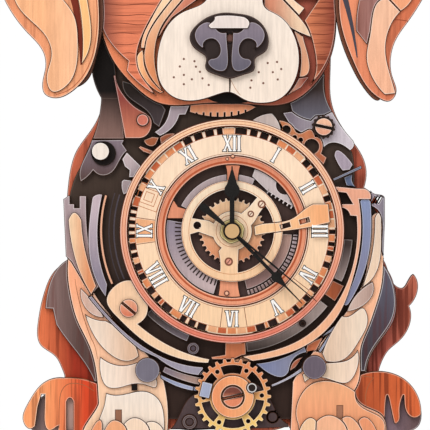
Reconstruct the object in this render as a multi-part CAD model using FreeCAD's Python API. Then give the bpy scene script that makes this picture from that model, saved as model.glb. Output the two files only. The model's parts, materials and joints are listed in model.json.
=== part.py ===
import FreeCAD, Part
import math
import os
from FreeCAD import Vector

# Layered plywood puzzle clock in the shape of a sitting puppy, millimetres, front towards -Y.
# The origin is on the hand arbor's axis, in the plane of the wall that the clock hangs on.
# Every outline is drawn in the X-Z plane and pushed forward, towards -Y, by a number of plies.

# driving dimensions
ply = 3.0                  # one sheet of plywood
rear_depth = 18.0          # wall to the rear face of the back plate
case_half = 28.0           # quartz movement, half its width
case_wall = 1.5
bezel_outer = 61.6
bezel_inner = 57.6
chapter_inner = 41.6
moulding_inner = 36.5
skeleton_outer = 28.0
skeleton_inner = 22.8
hub_radius = 11.0
bushing_radius = 4.0
hour_tube_radius = 2.5
minute_tube_radius = 1.75
second_pin_radius = 0.8
running_gap = 0.05         # radial clearance of every turning fit
hour_angle = 0.0           # clockwise from twelve
minute_angle = 136.0
second_angle = 129.7
numeral_radius = 48.2
numeral_height = 8.6
thick_stroke = 1.2
thin_stroke = 0.85
serif_height = 0.55
serif_half = 0.95
drive_centre = (0.4, -91.0)
drive_teeth = 28
drive_radius = 21.3
drive_bore = 4.55
gear_rear = -27.6          # rear face of the turning gear, clear of the plates behind it
hanger_height = 45.0
hanger_radius = 4.0
hanger_depth = 12.0
train_module = 0.5
motion_module = 0.48
work_centre = (0.0, 12.0)
touching = 0.01            # boxes that share less than this only touch
smallest_piece = 4.0       # mm3, a trimmed scrap below this is left out
knob_centre = (12.0 * math.cos(math.radians(30)), 12.0 + 12.0 * math.sin(math.radians(30)))

nodes = {}                 # the solids of each node, by name
placed = []                # every solid so far: later plates are trimmed to fit round it


def meet(a, b):
    """Whether two boxes share more than a touching face."""
    spans = ((a.XMin, a.XMax, b.XMin, b.XMax), (a.YMin, a.YMax, b.YMin, b.YMax),
             (a.ZMin, a.ZMax, b.ZMin, b.ZMax))
    return all(min(high_a, high_b) - max(low_a, low_b) > touching for low_a, high_a, low_b, high_b in spans)


def keep(name, *shapes, trim=True):
    """Adds solids to a node, less the space that earlier solids and the turning gear need."""
    for shape in shapes:
        if trim:
            for other in placed + [gear_room]:
                if meet(shape.BoundBox, other.BoundBox):
                    shape = shape.cut(other)
        solids = [s for s in shape.Solids if s.Volume > smallest_piece]
        nodes.setdefault(name, []).extend(solids)
        placed.extend(solids)


def rear_of(level):
    return -(rear_depth + ply * (level - 1))


def wire(runs):
    """Closed wire: each run goes on from the last one's end, as a line or as a smooth curve."""
    edges, last = [], None
    for run in runs:
        points = ([last] if last else []) + list(run)
        flat = [Vector(x, 0, z) for x, z in points]
        if len(flat) == 2:
            edges.append(Part.makeLine(*flat))
        elif len(flat) > 2:
            curve = Part.BSplineCurve()
            curve.interpolate(flat)
            edges.append(curve.toShape())
        last = run[-1]
    if math.dist(last, runs[0][0]) > 0.01:
        edges.append(Part.makeLine(Vector(last[0], 0, last[1]), Vector(runs[0][0][0], 0, runs[0][0][1])))
    return Part.Wire(edges)


def ring_wire(points):
    curve = Part.BSplineCurve()
    curve.interpolate([Vector(x, 0, z) for x, z in points], True)
    return Part.Wire([curve.toShape()])


def push(outline, y, thick):
    face = Part.Face(outline)
    face.translate(Vector(0, y, 0))
    return face.extrude(Vector(0, -thick, 0))


def plate(runs, level, thick=ply, lift=0.0):
    return push(wire(runs), rear_of(level) - lift, thick)


def disc(x, z, radius, y, thick):
    return Part.makeCylinder(radius, thick, Vector(x, y, z), Vector(0, -1, 0))


def tube(outer, inner, y, thick, x=0.0, z=0.0):
    return disc(x, z, outer, y, thick).cut(disc(x, z, inner, y + 1, thick + 2))


def block(x0, x1, z0, z1, y, thick):
    return Part.makeBox(x1 - x0, thick, z1 - z0, Vector(x0, y - thick, z0))


def turned(shape, angle, x=0.0, z=0.0):
    """Turns a shape clockwise, as seen from the front."""
    copy = shape.copy()
    copy.rotate(Vector(x, 0, z), Vector(0, 1, 0), angle)
    return copy


def polar(radius, angle):
    a = math.radians(angle)
    return (radius * math.sin(a), radius * math.cos(a))


def sector(inner, outer, start, end, y, thick):
    """Part of a ring between two clockwise angles."""
    middle = (start + end) / 2
    points = [polar(outer, start), polar(outer, middle), polar(outer, end),
              polar(inner, end), polar(inner, middle), polar(inner, start)]
    v = [Vector(x, 0, z) for x, z in points]
    edges = [Part.Arc(v[0], v[1], v[2]).toShape(), Part.makeLine(v[2], v[3]),
             Part.Arc(v[3], v[4], v[5]).toShape(), Part.makeLine(v[5], v[0])]
    return push(Part.Wire(edges), y, thick)


def gear(teeth, root, tip, y, thick, centre=(0.0, 0.0), tooth_at=90.0, shares=(0.62, 0.24)):
    """Plain gear with straight-sided teeth; tooth_at is the direction of one tooth from +X towards +Z."""
    points = []
    pitch = 2 * math.pi / teeth
    for n in range(teeth):
        middle = math.radians(tooth_at) + n * pitch
        for side, radius, share in ((-1, root, shares[0]), (-1, tip, shares[1]),
                                    (1, tip, shares[1]), (1, root, shares[0])):
            a = middle + side * share * pitch / 2
            points.append((centre[0] + radius * math.cos(a), centre[1] + radius * math.sin(a)))
    return push(wire([[p] for p in points]), y, thick)


def train_gear(teeth, module, y, thick, centre, tooth_at):
    radius = teeth * module / 2
    return gear(teeth, radius - 1.25 * module, radius + 0.9 * module, y, thick, centre, tooth_at)


def slotted_disc(x, z, radius, y, thick, angle, width=1.2, deep=0.7):
    groove = turned(block(x - radius, x + radius, z - width / 2, z + width / 2, y - thick + deep, deep + 1),
                    angle, x, z)
    return disc(x, z, radius, y, thick).cut(groove)


gear_room = disc(*drive_centre, drive_radius + 0.8, gear_rear + 0.4, 8)


# ---- quartz movement behind the dial ----

def movement():
    shell = block(-case_half, case_half, -case_half, case_half, 0, rear_depth)
    room = case_half - case_wall
    shell = shell.cut(block(-room, room, -room, room, 1, rear_depth - case_wall + 1))
    shell = shell.cut(disc(0, 0, bushing_radius, 1, 30)).cut(disc(*work_centre, 0.95, -16, 1.5))
    keep("movement_case", shell)
    lid = room - 0.1
    cover = block(-lid, lid, -lid, lid, 0, case_wall)
    cover = cover.cut(block(-25.5, 25.5, -25.6, -11.0, 1, 5))
    keep("movement_back_cover", cover.cut(disc(*knob_centre, 6.5, 1, 5)))
    cell = Part.makeCylinder(7.1, 48.8, Vector(-25, -8.7, -18.3), Vector(1, 0, 0))
    nub = Part.makeCylinder(2.7, 1.2, Vector(23.8, -8.7, -18.3), Vector(1, 0, 0))
    keep("battery", cell.fuse(nub))
    keep("battery_contacts", block(-26.2, -25.1, -24, -12.5, -3, 12), block(25.1, 26.2, -24, -12.5, -3, 12))
    keep("circuit_board", block(-25, -12.5, -8, 16, -3.6, 1.2))
    coil = Part.makeCylinder(2.3, 18, Vector(-20, -7.4, -6.5), Vector(0, 0, 1))
    yoke = block(-22.4, -17.6, -8.4, -6.5, -4.9, 5).fuse(block(-22.4, -17.6, 11.5, 13.4, -4.9, 5))
    keep("drive_coil", coil.fuse(yoke))
    keep("train_plates", block(10.5, 24.5, -8.5, 7, -3.6, 6))
    train = block(-26, 26, -9.6, 26, -10.2, 1.2)
    for centre, radius in ((work_centre, 0.95), (knob_centre, 1.55), ((0, 0),
                                                                      second_pin_radius + running_gap)):
        train = train.cut(disc(*centre, radius, -9, 4))
    keep("train_plates", train)


def arbors():
    work = train_gear(36, train_module, -12.5, 1.5, work_centre, -85)
    work = work.fuse(train_gear(10, motion_module, -14.0, 1.5, work_centre, 288))
    keep("motion_work_wheel", work.fuse(disc(*work_centre, 0.9, -9.6, 7.6)), trim=False)
    knob = slotted_disc(*knob_centre, 5.6, -0.5, 2.3, 0).fuse(disc(*knob_centre, 1.5, -2.5, 11.5))
    keep("setting_knob", knob.fuse(train_gear(12, train_module, -12.5, 1.5, knob_centre, 210)), trim=False)
    bushing = disc(0, 0, bushing_radius, -16.5, 18.3).fuse(disc(0, 0, 6.5, -15.9, 0.6))
    keep("threaded_bushing", bushing.cut(disc(0, 0, hour_tube_radius + running_gap, -10, 40)))
    hour = train_gear(40, motion_module, -14.4, 1.1, (0, 0), 90)
    hour = hour.fuse(disc(0, 0, hour_tube_radius, -14.4, 21.7))
    keep("hour_arbor", hour.cut(disc(0, 0, minute_tube_radius + running_gap, -10, 40)), trim=False)
    minute = train_gear(12, train_module, -12.5, 1.5, (0, 0), 90)
    minute = minute.fuse(disc(0, 0, minute_tube_radius, -12.5, 25.2))
    keep("minute_arbor", minute.cut(disc(0, 0, second_pin_radius + running_gap, -10, 40)), trim=False)
    wheel = gear(48, 7.2, 8.0, -8.9, 0.9)
    keep("second_arbor", wheel.fuse(disc(0, 0, second_pin_radius, -8.9, 30.4)), trim=False)
    keep("bushing_nut", tube(6.3, bushing_radius, -32, 0.5))
    corners = [[polar(7.5, 60 * n + 8)] for n in range(6)]
    nut = push(wire(corners), -32.5, 1.9).common(disc(0, 0, 6.9, -32.5, 1.9))
    keep("bushing_nut", nut.cut(disc(0, 0, bushing_radius, -30, 10)))


def hand(length, tail, stem, bulb, bulb_at, point, hub, y, thick, bore, angle):
    """Hand pointing up, then turned: tapered stem, round bulb, needle tip and hub."""
    stem_plate = push(wire([[(-stem / 2, -tail)], [(stem / 2, -tail)], [(stem / 2, bulb_at)],
                            [(point / 2, bulb_at + 8)], [(point / 4, length)], [(-point / 4, length)],
                            [(-point / 2, bulb_at + 8)], [(-stem / 2, bulb_at)]]), y, thick)
    shape = stem_plate.fuse(disc(0, 0, hub, y, thick))
    if bulb:
        flare = wire([[(-bulb * 0.93, bulb_at), (-bulb * 0.62, bulb_at + bulb * 0.95),
                       (-point / 2, bulb_at + bulb * 2.6)], [(point / 2, bulb_at + bulb * 2.6)],
                      [(bulb * 0.62, bulb_at + bulb * 0.95), (bulb * 0.93, bulb_at)]])
        shape = shape.fuse(disc(0, bulb_at, bulb, y, thick)).fuse(push(flare, y, thick))
    return turned(shape.cut(disc(0, 0, bore, y + 1, thick + 2)).removeSplitter(), angle)


def hands():
    keep("hour_hand", hand(35.5, 0, 2.6, 4.2, 22.4, 1.3, 4.9, -35.2, 0.9, hour_tube_radius, hour_angle))
    keep("minute_hand", hand(55.1, 0, 1.9, 2.9, 34.9, 1.0, 4.4, -36.8, 0.9, minute_tube_radius,
                             minute_angle))
    sweep = hand(60.1, 9, 1.1, 0, 30, 0.8, 3.4, -38.4, 0.7, second_pin_radius, second_angle)
    weight = turned(push(wire([[(-0.9, -6)], [(-2.1, -20.5)], [(-1.4, -22.1), (0, -22.6), (1.4, -22.1)],
                               [(2.1, -20.5)], [(0.9, -6)]]), -38.4, 0.7), second_angle)
    keep("second_hand", sweep.fuse(weight).removeSplitter())
    cap = disc(0, 0, 3.9, -39.1, 1.4).cut(disc(0, 0, second_pin_radius, -39.0, 0.3))
    keep("centre_cap", cap)


# ---- rear frame and silhouette plates ----

def rear_frame():
    pocket = case_half + 0.5
    top = block(-44, 44, pocket, 58, 0, rear_depth)
    keep("rear_spacers", top.cut(disc(0, hanger_height, hanger_radius, 1, hanger_depth + 1)))
    keep("rear_spacers", block(-44, 44, -42, -pocket, 0, rear_depth))
    keep("rear_spacers", block(-44, -pocket, -pocket, pocket, 0, rear_depth))
    keep("rear_spacers", block(pocket, 44, -pocket, pocket, 0, rear_depth))
    keep("rear_spacers", block(-22, 22, -104, -90, 0, rear_depth))


def back_plates():
    back = plate([[(-74, 120), (-77, 96), (-76, 88), (-72, 73), (-77, 57.5), (-86.3, 44), (-90.3, 29),
                   (-91.8, 5),
                   (-90.3, -25), (-84.6, -52), (-76, -76), (-75.5, -96), (-80, -113)],
                  [(-40, -113)], [(-33, -109.5), (0, -109.8), (31, -108)], [(35, -113)], [(82, -113)],
                  [(72, -92), (69, -78), (70, -64), (80, -38), (83.3, -10), (83.2, 9), (79.5, 18.5),
                   (73.3, 24)],
                  [(70.3, 45), (61, 57.7), (55.3, 71), (54.6, 88), (48, 120)]], 1)
    keep("back_plate", back.cut(disc(0, 0, bushing_radius, -10, 20)))
    tail = plate([[(82, -14), (86.5, -22), (91.5, -30.8), (94.2, -31.6), (97, -28.5), (100.6, -23.9)],
                  [(102.8, -28), (102.8, -33.5), (98.2, -41.6)],
                  [(99.3, -47), (97.7, -54), (93, -60.7), (86.6, -66.4), (83.5, -71.5), (81.5, -77)],
                  [(80, -84)], [(66, -84)]], 1)
    keep("tail_plate", tail)
    chest = plate([[(-73, 115), (-76.6, 96), (-76, 88), (-71.8, 73), (-74.2, 59), (-84, 35)],
                   [(-89.6, 20), (-90.6, 4), (-88.5, -20), (-76, -54), (-52, -80), (-38, -104)],
                   [(33, -104)],
                   [(52, -78), (76, -44), (82, -8), (79, 12), (67.5, 23.7)], [(67.8, 34), (66.6, 43)],
                   [(58.3, 58.5), (52.4, 72), (51.2, 86), (44, 115)]], 2)
    keep("chest_panel", chest.cut(disc(0, 0, bushing_radius, -10, 20)))


def haunches():
    keep("haunches", plate([
        [(-86, -12), (-90.3, -16), (-97.4, -21.4), (-103.5, -33), (-107.2, -50), (-105.7, -63.2),
         (-97.6, -69.4), (-94.4, -75), (-92.6, -79.6)], [(-92, -86)], [(-66, -90)], [(-68, -30)]], 2))
    keep("haunches", plate([
        [(80, -16), (84.3, -19.3), (90.5, -34), (89.5, -49), (80, -63.5), (74.5, -78)],
        [(74, -86)], [(60, -86)], [(62, -60)], [(74, -30)]], 2))
    keep("hind_inserts",
         plate([[(-111, -96), (-112.6, -106), (-107, -113.5), (-92, -116.6), (-76, -115.5)],
                [(-74, -90)], [(-100, -88)]], 2),
         plate([[(82, -89)], [(97, -87), (102.5, -93), (104.8, -102), (103.4, -107.4), (95, -111.6),
                              (82, -114.5)],
                [(74, -114.5)], [(74, -89)]], 2))


def hind_feet():
    left = plate([
        [(-92.8, -80.9), (-104, -83.7), (-112.3, -94.5), (-115, -105.5), (-112.2, -109), (-108.4, -107.6)],
        [(-107, -97)], [(-105, -90.2)], [(-103.2, -90.2)], [(-103.6, -103)], [(-100.8, -110), (-96.6, -108)],
        [(-95.6, -107.5)],
        [(-95.5, -111.5), (-88, -115), (-78, -111)], [(-70, -100)], [(-70, -86)],
        [(-80, -82), (-86, -80.9), (-92.8, -80.9)]], 3)
    slot = plate([[(-91.1, -94), (-89.35, -92.2), (-87.6, -94)], [(-87.6, -110)], [(-91.1, -110)]], 3,
                 ply + 2, -1)
    keep("hind_feet", left.cut(slot))
    keep("hind_feet", plate([
        [(70, -79.6), (81.5, -77.3), (96, -82.3), (103, -92), (104.3, -101.3)],
        [(99.5, -102.9), (95.3, -97.5), (94.6, -90.6), (92.6, -97.5), (92, -105), (89.8, -106.6)],
        [(87.8, -99), (85.6, -90.6), (84.6, -98), (85.2, -112)], [(78, -112)], [(64, -96)], [(64, -82)]], 3))
    keep("hind_inserts",
         plate([[(-86, -14), (-95.8, -20), (-101.3, -31.5), (-103, -42.8)], [(-98.8, -43)], [(-97, -51.5)],
                [(-90, -61.5), (-82, -72), (-76, -83)], [(-70, -84)], [(-72, -60), (-78, -40), (-82, -20)]],
                3),
         plate([[(83.4, -18.5), (89.6, -33), (88.6, -48), (79.3, -62.5), (73.6, -77.4)],
                [(68, -77.4)], [(66, -60), (72, -40), (78, -22)]], 3))


# ---- front legs ----

def front_legs():
    keep("front_legs", plate([
        [(-90, -12), (-90.8, -20), (-90.4, -28), (-89, -36.6), (-85.2, -50), (-79.4, -61.8),
         (-76.4, -70.4), (-74.4, -82.8), (-73.6, -95)],
        [(-79.6, -105), (-82.2, -113), (-78.5, -117.6), (-60, -118.5), (-40, -117.6), (-35.6, -112)],
        [(-35.7, -92), (-38.5, -79)], [(-54, -60), (-76, -34), (-82, -20)]], 3))
    keep("front_legs", plate([
        [(83, 8), (83.5, -13), (82.4, -31), (79, -43), (74.6, -55), (71.2, -64), (70.8, -78),
         (67.6, -88)],
        [(73.8, -97), (82.6, -101.5), (85, -111.5), (79, -118.2), (60, -118.5), (38, -117.6), (32, -112)],
        [(33.4, -83)], [(39, -74), (61, -47), (74.5, -16), (77.8, 9), (80.6, 10.6)]], 3))


def leg_panels():
    thin = 1.5
    left = [
        [[(-83.3, -31.4), (-82.5, -39.5), (-76, -46.6), (-70.3, -47.6)], [(-74, -42), (-83.3, -31.4)]],
        [[(-81, -45.8), (-78, -54), (-69, -66.5), (-58, -71.8), (-51.3, -69)],
         [(-53.5, -62.5), (-64, -52.5), (-69.5, -49.4)], [(-77, -48), (-81, -45.8)]],
        [[(-72.5, -69.3), (-72.6, -78), (-68.5, -86), (-61.5, -86.3), (-54, -84.3), (-46, -85.4),
          (-42.3, -86.3), (-41.2, -83)], [(-42, -78)], [(-52.5, -72.4)], [(-62, -74), (-72.5, -69.3)]],
        [[(-69.3, -89.2)], [(-60, -90), (-47, -88.4), (-40.5, -92.5), (-37.2, -104), (-37, -113)],
         [(-40, -116.4)], [(-74, -116.6)], [(-75, -110), (-73, -103), (-70, -94)]],
    ]
    keep("leg_panels", *[plate(runs, 4, thin) for runs in left])
    right = [
        [[(78.5, 7), (80.6, 10.1), (82.4, 7)], [(82.3, -10), (79.5, -23), (71.5, -31.2)],
         [(76, -17), (78.4, 0), (78.5, 7)]],
        [[(77.5, -27.8), (77.8, -34.5), (71, -42), (63.2, -44.4)], [(68, -35.4), (77.5, -27.8)]],
        [[(60.6, -46.5), (66, -46), (72.5, -42.5), (74.5, -46), (70.5, -60), (62, -70.6), (51.5, -71.7)],
         [(49.6, -67.5)], [(55, -55), (60.6, -46.5)]],
        [[(69.2, -65.5), (69, -76), (63.5, -83.6), (54, -82), (40, -83.6)], [(38.7, -79)], [(46, -74)],
         [(52, -72.6), (60, -72), (69.2, -65.5)]],
        [[(36.2, -106), (36.5, -93), (44, -84), (60, -84), (68, -88.5)], [(75, -98.8), (82, -102.5),
            (83.6, -112)],
         [(80, -116.6)], [(38, -116.6)]],
    ]
    keep("leg_panels", *[plate(runs, 4, thin) for runs in right])
    toes = [
        [[(-70, -116), (-69, -107), (-65.4, -104), (-61.2, -105), (-60.3, -116)]],
        [[(-60, -116), (-59.4, -106), (-54, -102.6), (-48.4, -104.6), (-47.3, -116)]],
        [[(-47, -116)], [(-47, -105.2)], [(-41, -105.5), (-37.8, -109), (-37.6, -115)]],
        [[(-76.5, -114), (-75.6, -106), (-72.6, -103.8), (-71.2, -106)], [(-71.5, -116)]],
        [[(37, -115), (38.6, -106), (43, -102.6), (46.4, -104.5)], [(45.8, -116)]],
        [[(46, -116), (46.6, -104.5), (53, -101.2), (59.6, -103.6), (62.4, -116)]],
        [[(62.6, -116)], [(60.4, -103)], [(64, -101.8), (68, -104.2), (71.6, -110)], [(72, -116)]],
        [[(72.4, -116)], [(69.4, -104.4)], [(73, -102.2), (77.5, -105.5), (80, -116)]],
    ]
    keep("front_toes", *[plate(runs, 4, thin, thin) for runs in toes])
    keep("knee_caps", disc(-46.5, -76.4, 6.8, rear_of(4), 4.5), disc(45.3, -74.9, 6.6, rear_of(4), 4.5))


# ---- rings of the dial ----

def minute_windows():
    """Openings of the minute track: clockwise angle of each and its width."""
    track = [(-26.2, 4.4), (-19.6, 4.4), (-12.9, 4.4), (-7.0, 2.8), (5.2, 6.2), (12.6, 3.8),
             (18.8, 4.2), (24.9, 4.0), (47.8, 3.6), (54.3, 4.2), (71.2, 3.0), (90.5, 2.2),
             (97.5, 2.0), (102.8, 2.6), (109.7, 3.0), (125.0, 3.4), (132.0, 3.0), (140.5, 2.4),
             (156.0, 4.6), (163.5, 4.6), (197.5, 4.4), (203.5, 3.6), (209.0, 3.0), (220.5, 5.4),
             (227.5, 2.4), (233.7, 3.8), (243.0, 3.2), (249.0, 3.6), (256.0, 2.4), (261.0, 3.6),
             (267.0, 1.9), (271.0, 1.9), (275.0, 1.9), (279.0, 1.9), (283.0, 1.9), (292.0, 3.2),
             (300.0, 2.6)]
    return [turned(block(-w / 2, w / 2, 53.4, 56.8, rear_of(4) + 1, ply + 2), angle) for angle, w in track]


def dial_rings():
    keep("outer_bezel", tube(bezel_outer, bezel_inner, rear_of(3), 8.2))
    backing = disc(0, 0, bezel_inner - 0.2, rear_of(3), ply)
    keep("dial_backing", backing.cut(disc(0, 0, bushing_radius, -10, 30)))
    chapter = tube(bezel_inner - 0.2, chapter_inner, rear_of(4), ply)
    for window in minute_windows():
        chapter = chapter.cut(window)
    keep("chapter_ring", chapter)
    moulding = tube(chapter_inner - 0.2, moulding_inner, rear_of(4), 3.8)
    top = plate([[(-5, 38.5)], [(-3.4, 35), (-2.9, 30)], [(-2.9, 24)], [(3.6, 24)], [(3.6, 30), (4.4, 35)],
                 [(5.6, 38.5)]], 4)
    low = plate([[(-8.5, -38.5)], [(-7.2, -33), (-7, -24)], [(3.4, -24)], [(4, -33), (5.5, -38.5)]], 4)
    side = plate([[(-38.5, 6.8)], [(-25, 6.8)], [(-24.5, 12)], [(-29.6, 13.4)], [(-36.5, 24)],
                  [(-38.5, 20)]], 4)
    keep("inner_bezel", moulding.fuse(top).fuse(low).fuse(side).removeSplitter())
    silver = sector(25.4, moulding_inner, 20, 84, rear_of(4), 2.2)
    silver = silver.cut(plate([[(10, 31)], [(19.5, 21.8)], [(38, 10.6)], [(38, 0)], [(0, 0)], [(0, 31)]],
                              4, 4, -0.5))
    rack = []
    for n in range(8):
        x, z = 20.3 + 2.15 * n, 22.4 - 1.42 * n
        rack.append(turned(block(x - 0.55, x + 0.55, z - 2.0, z + 1.6, rear_of(4), 2.2), 32, x, z))
    silver = silver.fuse(rack).cut(disc(29.4, 25.2, 5.0, -20, 20))
    keep("dial_sectors", silver)
    keep("dial_sectors",
         sector(27, 36.3, 196, 280, rear_of(4), 1.8), sector(27, 31.4, 296, 355, rear_of(4), 1.8),
         sector(27, 31.4, 5, 24, rear_of(4), 1.8), sector(33.6, 36.3, 93, 166, rear_of(4), 1.8))
    keep("dial_sectors", sector(26.6, 33.2, 93, 166, rear_of(4), 1.2))
    keep("centre_gear", gear(34, 16.9, 18.5, rear_of(4), ply).cut(disc(0, 0, bushing_radius, -20, 20)))


def skeleton():
    y = rear_of(5)
    thin = 2.0
    arm = plate([[(12, 2.6)], [(15.5, 3.9), (22, 4.6), (34, 7.6), (39.5, 12), (44.5, 15)], [(53, 15)],
                 [(54, 4.6)], [(44, 2.2)], [(30, 0), (20, -1.3), (12.5, -2.6)]], 5, thin)
    for x, z in ((29.2, 2.9), (39.8, 5.6)):
        arm = arm.cut(turned(block(x - 2.6, x + 2.6, z - 1.1, z + 1.1, -20, 20), -16, x, z))
    keep("dial_arm", arm)
    ring = tube(skeleton_outer, skeleton_inner, y, thin)
    hub = disc(0, 0, hub_radius, y, thin)
    low = plate([[(-6.9, -24)], [(-6.6, -17), (-7.6, -11)], [(-4, -7)], [(4, -7)], [(3.4, -17),
        (3.4, -24)]], 5, thin)
    right = plate([[(15.2, 20.4)], [(9.4, 13.6)], [(3, 8)], [(9, 2)], [(13, 6), (15.6, 10.4), (19.4, 14.2)],
                   [(22, 15)]], 5, thin)
    left = plate([[(-24.4, 7.6)], [(-12.5, 5.8)], [(-8, 3)], [(-9, -4)], [(-18.6, -0.6)], [(-24.4, -2.4)]],
                 5, thin)
    whole = ring.fuse([hub, low, right, left])
    for x, z, radius in ((-19.1, 3.1, 1.9), (0, 0, bushing_radius)):
        whole = whole.cut(disc(x, z, radius, -20, 30))
    keep("skeleton_ring", whole.removeSplitter())


def numeral(text):
    """One Roman numeral standing on its own foot, centred, its strokes joined to one solid."""
    half = numeral_height / 2
    widths = {"I": 2.5, "V": 5.0, "X": 5.2}
    x = -sum(widths[c] for c in text) / 2
    bars = []
    for letter in text:
        w = widths[letter]
        lines = {"I": [(x + w / 2, x + w / 2, thick_stroke)],
                 "V": [(x + 0.9, x + w / 2 - 0.2, thick_stroke), (x + w - 0.8, x + w / 2 + 0.3,
                                                                  thin_stroke)],
                 "X": [(x + 0.9, x + w - 0.9, thick_stroke), (x + w - 0.8, x + 0.8, thin_stroke)]}[letter]
        for top, foot, stroke in lines:
            s = stroke / 2
            bars.append(push(wire([[(top - s, half)], [(top + s, half)], [(foot + s, -half)], [(foot - s,
                                                                                                -half)]]),
                             rear_of(5), 0.6))
        serifs = {"I": [(x + w / 2, half), (x + w / 2, -half)],
                  "V": [(x + 0.9, half), (x + w - 0.8, half)],
                  "X": [(x + 1.0, half), (x + w - 1.0, half), (x + 1.0, -half), (x + w - 1.0,
                                                                                 -half)]}[letter]
        for middle, level in serifs:
            low = min(level, level - math.copysign(serif_height, level))
            bars.append(block(middle - serif_half, middle + serif_half, low, low + serif_height,
                              rear_of(5), 0.6))
        x += w
    return bars[0].fuse(bars[1:]).removeSplitter()


def numerals():
    hours = ["XII", "I", "II", "III", "IV", "V", "VI", "VII", "VIII", "IX", "X", "XI"]
    solids = []
    for n, text in enumerate(hours):
        shape = numeral(text)
        if 5 < n < 9:
            shape = turned(shape, 180)
        shape.translate(Vector(0, -thickness_on_arm(n), numeral_radius))
        solids.append(turned(shape, 30 * n))
    keep("hour_numerals", *solids)


def thickness_on_arm(n):
    """III stands on the arm that crosses the chapter ring."""
    return 2.0 if n == 3 else 0.0


# ---- parts round the dial ----

def side_arcs():
    left = plate([[(-93, 17.6), (-91.6, 18.4), (-90.3, 19.6)], [(-80.2, 19.4)],
                  [(-79.7, 0), (-76, -21), (-72.9, -30.3)], [(-77.6, -35.4)], [(-88.5, -17)],
                  [(-91.6, -14)]], 3)
    notch = block(-89.3, -85.4, 15, 21, -20, 10).fuse(block(-86.8, -84.2, 12.8, 21, -20, 10))
    right = plate([[(76.6, 22.4), (80.6, 20.2), (83.4, 19.5), (84.3, 17)], [(84.3, 4)], [(83.5, -14)],
                   [(82.9, 3), (80.8, 10.8), (76.9, 13.6)]], 3)
    for n in range(3):
        right = right.cut(turned(block(77.7 + 1.7 * n, 78.5 + 1.7 * n, 15.2, 19.0, -20, 10), 30,
                                 78.1 + 1.7 * n, 17.1))
    keep("side_plates", left.cut(notch), right)
    keep("side_plates", plate([
        [(-90.2, 6), (-87, 10.3), (-82.7, 6)], [(-82.3, 0), (-78, -20.5), (-74.6, -30.4)], [(-77.5, -35.3)],
        [(-86.2, -16.5), (-89.6, 0), (-90.2, 6)]], 4, 2))
    keep("side_plates",
         plate([[(-77, 18.4)], [(-76, 19.4), (-71.2, 20.2)], [(-73.9, 0), (-72.2, -18), (-68.6, -29.3)],
                [(-69.5, -36.5)], [(-76.4, -24), (-79.1, 0), (-77, 18.4)]], 3, 4))
    keep("side_plates", sector(71.3, 72.9, 246, 286, rear_of(3), 4))
    keep("blue_strips",
         plate([[(70.4, 16.4)], [(71.3, 17.6)], [(75.3, 17.6)], [(76.4, 16.2)],
                [(76.9, 6), (75.8, -11), (70, -30), (64.2, -40.3)], [(62.6, -41.1), (60.9, -39.2)],
                [(66.8, -27), (71.2, -8), (71.5, 8), (70.4, 16.4)]], 3, 5),
         plate([[(-77.3, -35.6), (-66, -48.8), (-50.5, -62.3), (-33, -71.5), (-16, -74.9)], [(-15.6, -77)],
                [(-16.6, -79.6)], [(-31, -76.2), (-41, -70)], [(-50.5, -65.5)], [(-66, -51.3),
                    (-79, -36.5)]], 3, 5),
         plate([[(-39.5, -79), (-29, -83.4), (-18.7, -86.2)], [(-19, -88.4)], [(-29, -86.2), (-39, -81.2)]],
               3, 4),
         plate([[(13.2, -73), (28, -69.8), (40, -63.6)], [(41.2, -66.8)], [(34.5, -70), (31.5, -77)],
                [(28, -80.4), (22, -79.4), (13.2, -73)]], 3, 4),
         plate([[(21, -84.8), (30, -80.7), (38.3, -75.2)], [(38.6, -77.3)], [(30, -82.5), (21.3, -86.2)]],
               3, 4),
         plate([[(44, -61), (52, -55.8), (57.6, -51)], [(58.7, -52.4)], [(57.4, -54.2)], [(48.8, -58.9)]],
               3, 4),
         plate([[(56.5, -54.8)], [(49, -66.8)], [(47.4, -66.4)], [(54.8, -55)]], 3, 4))
    keep("side_plates", plate([[(-37, -74.5), (-28, -78), (-16.5, -80.8)], [(-18, -85)], [(-28, -82.3),
                                                                                      (-38.5, -77.7)]], 3))


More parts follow.
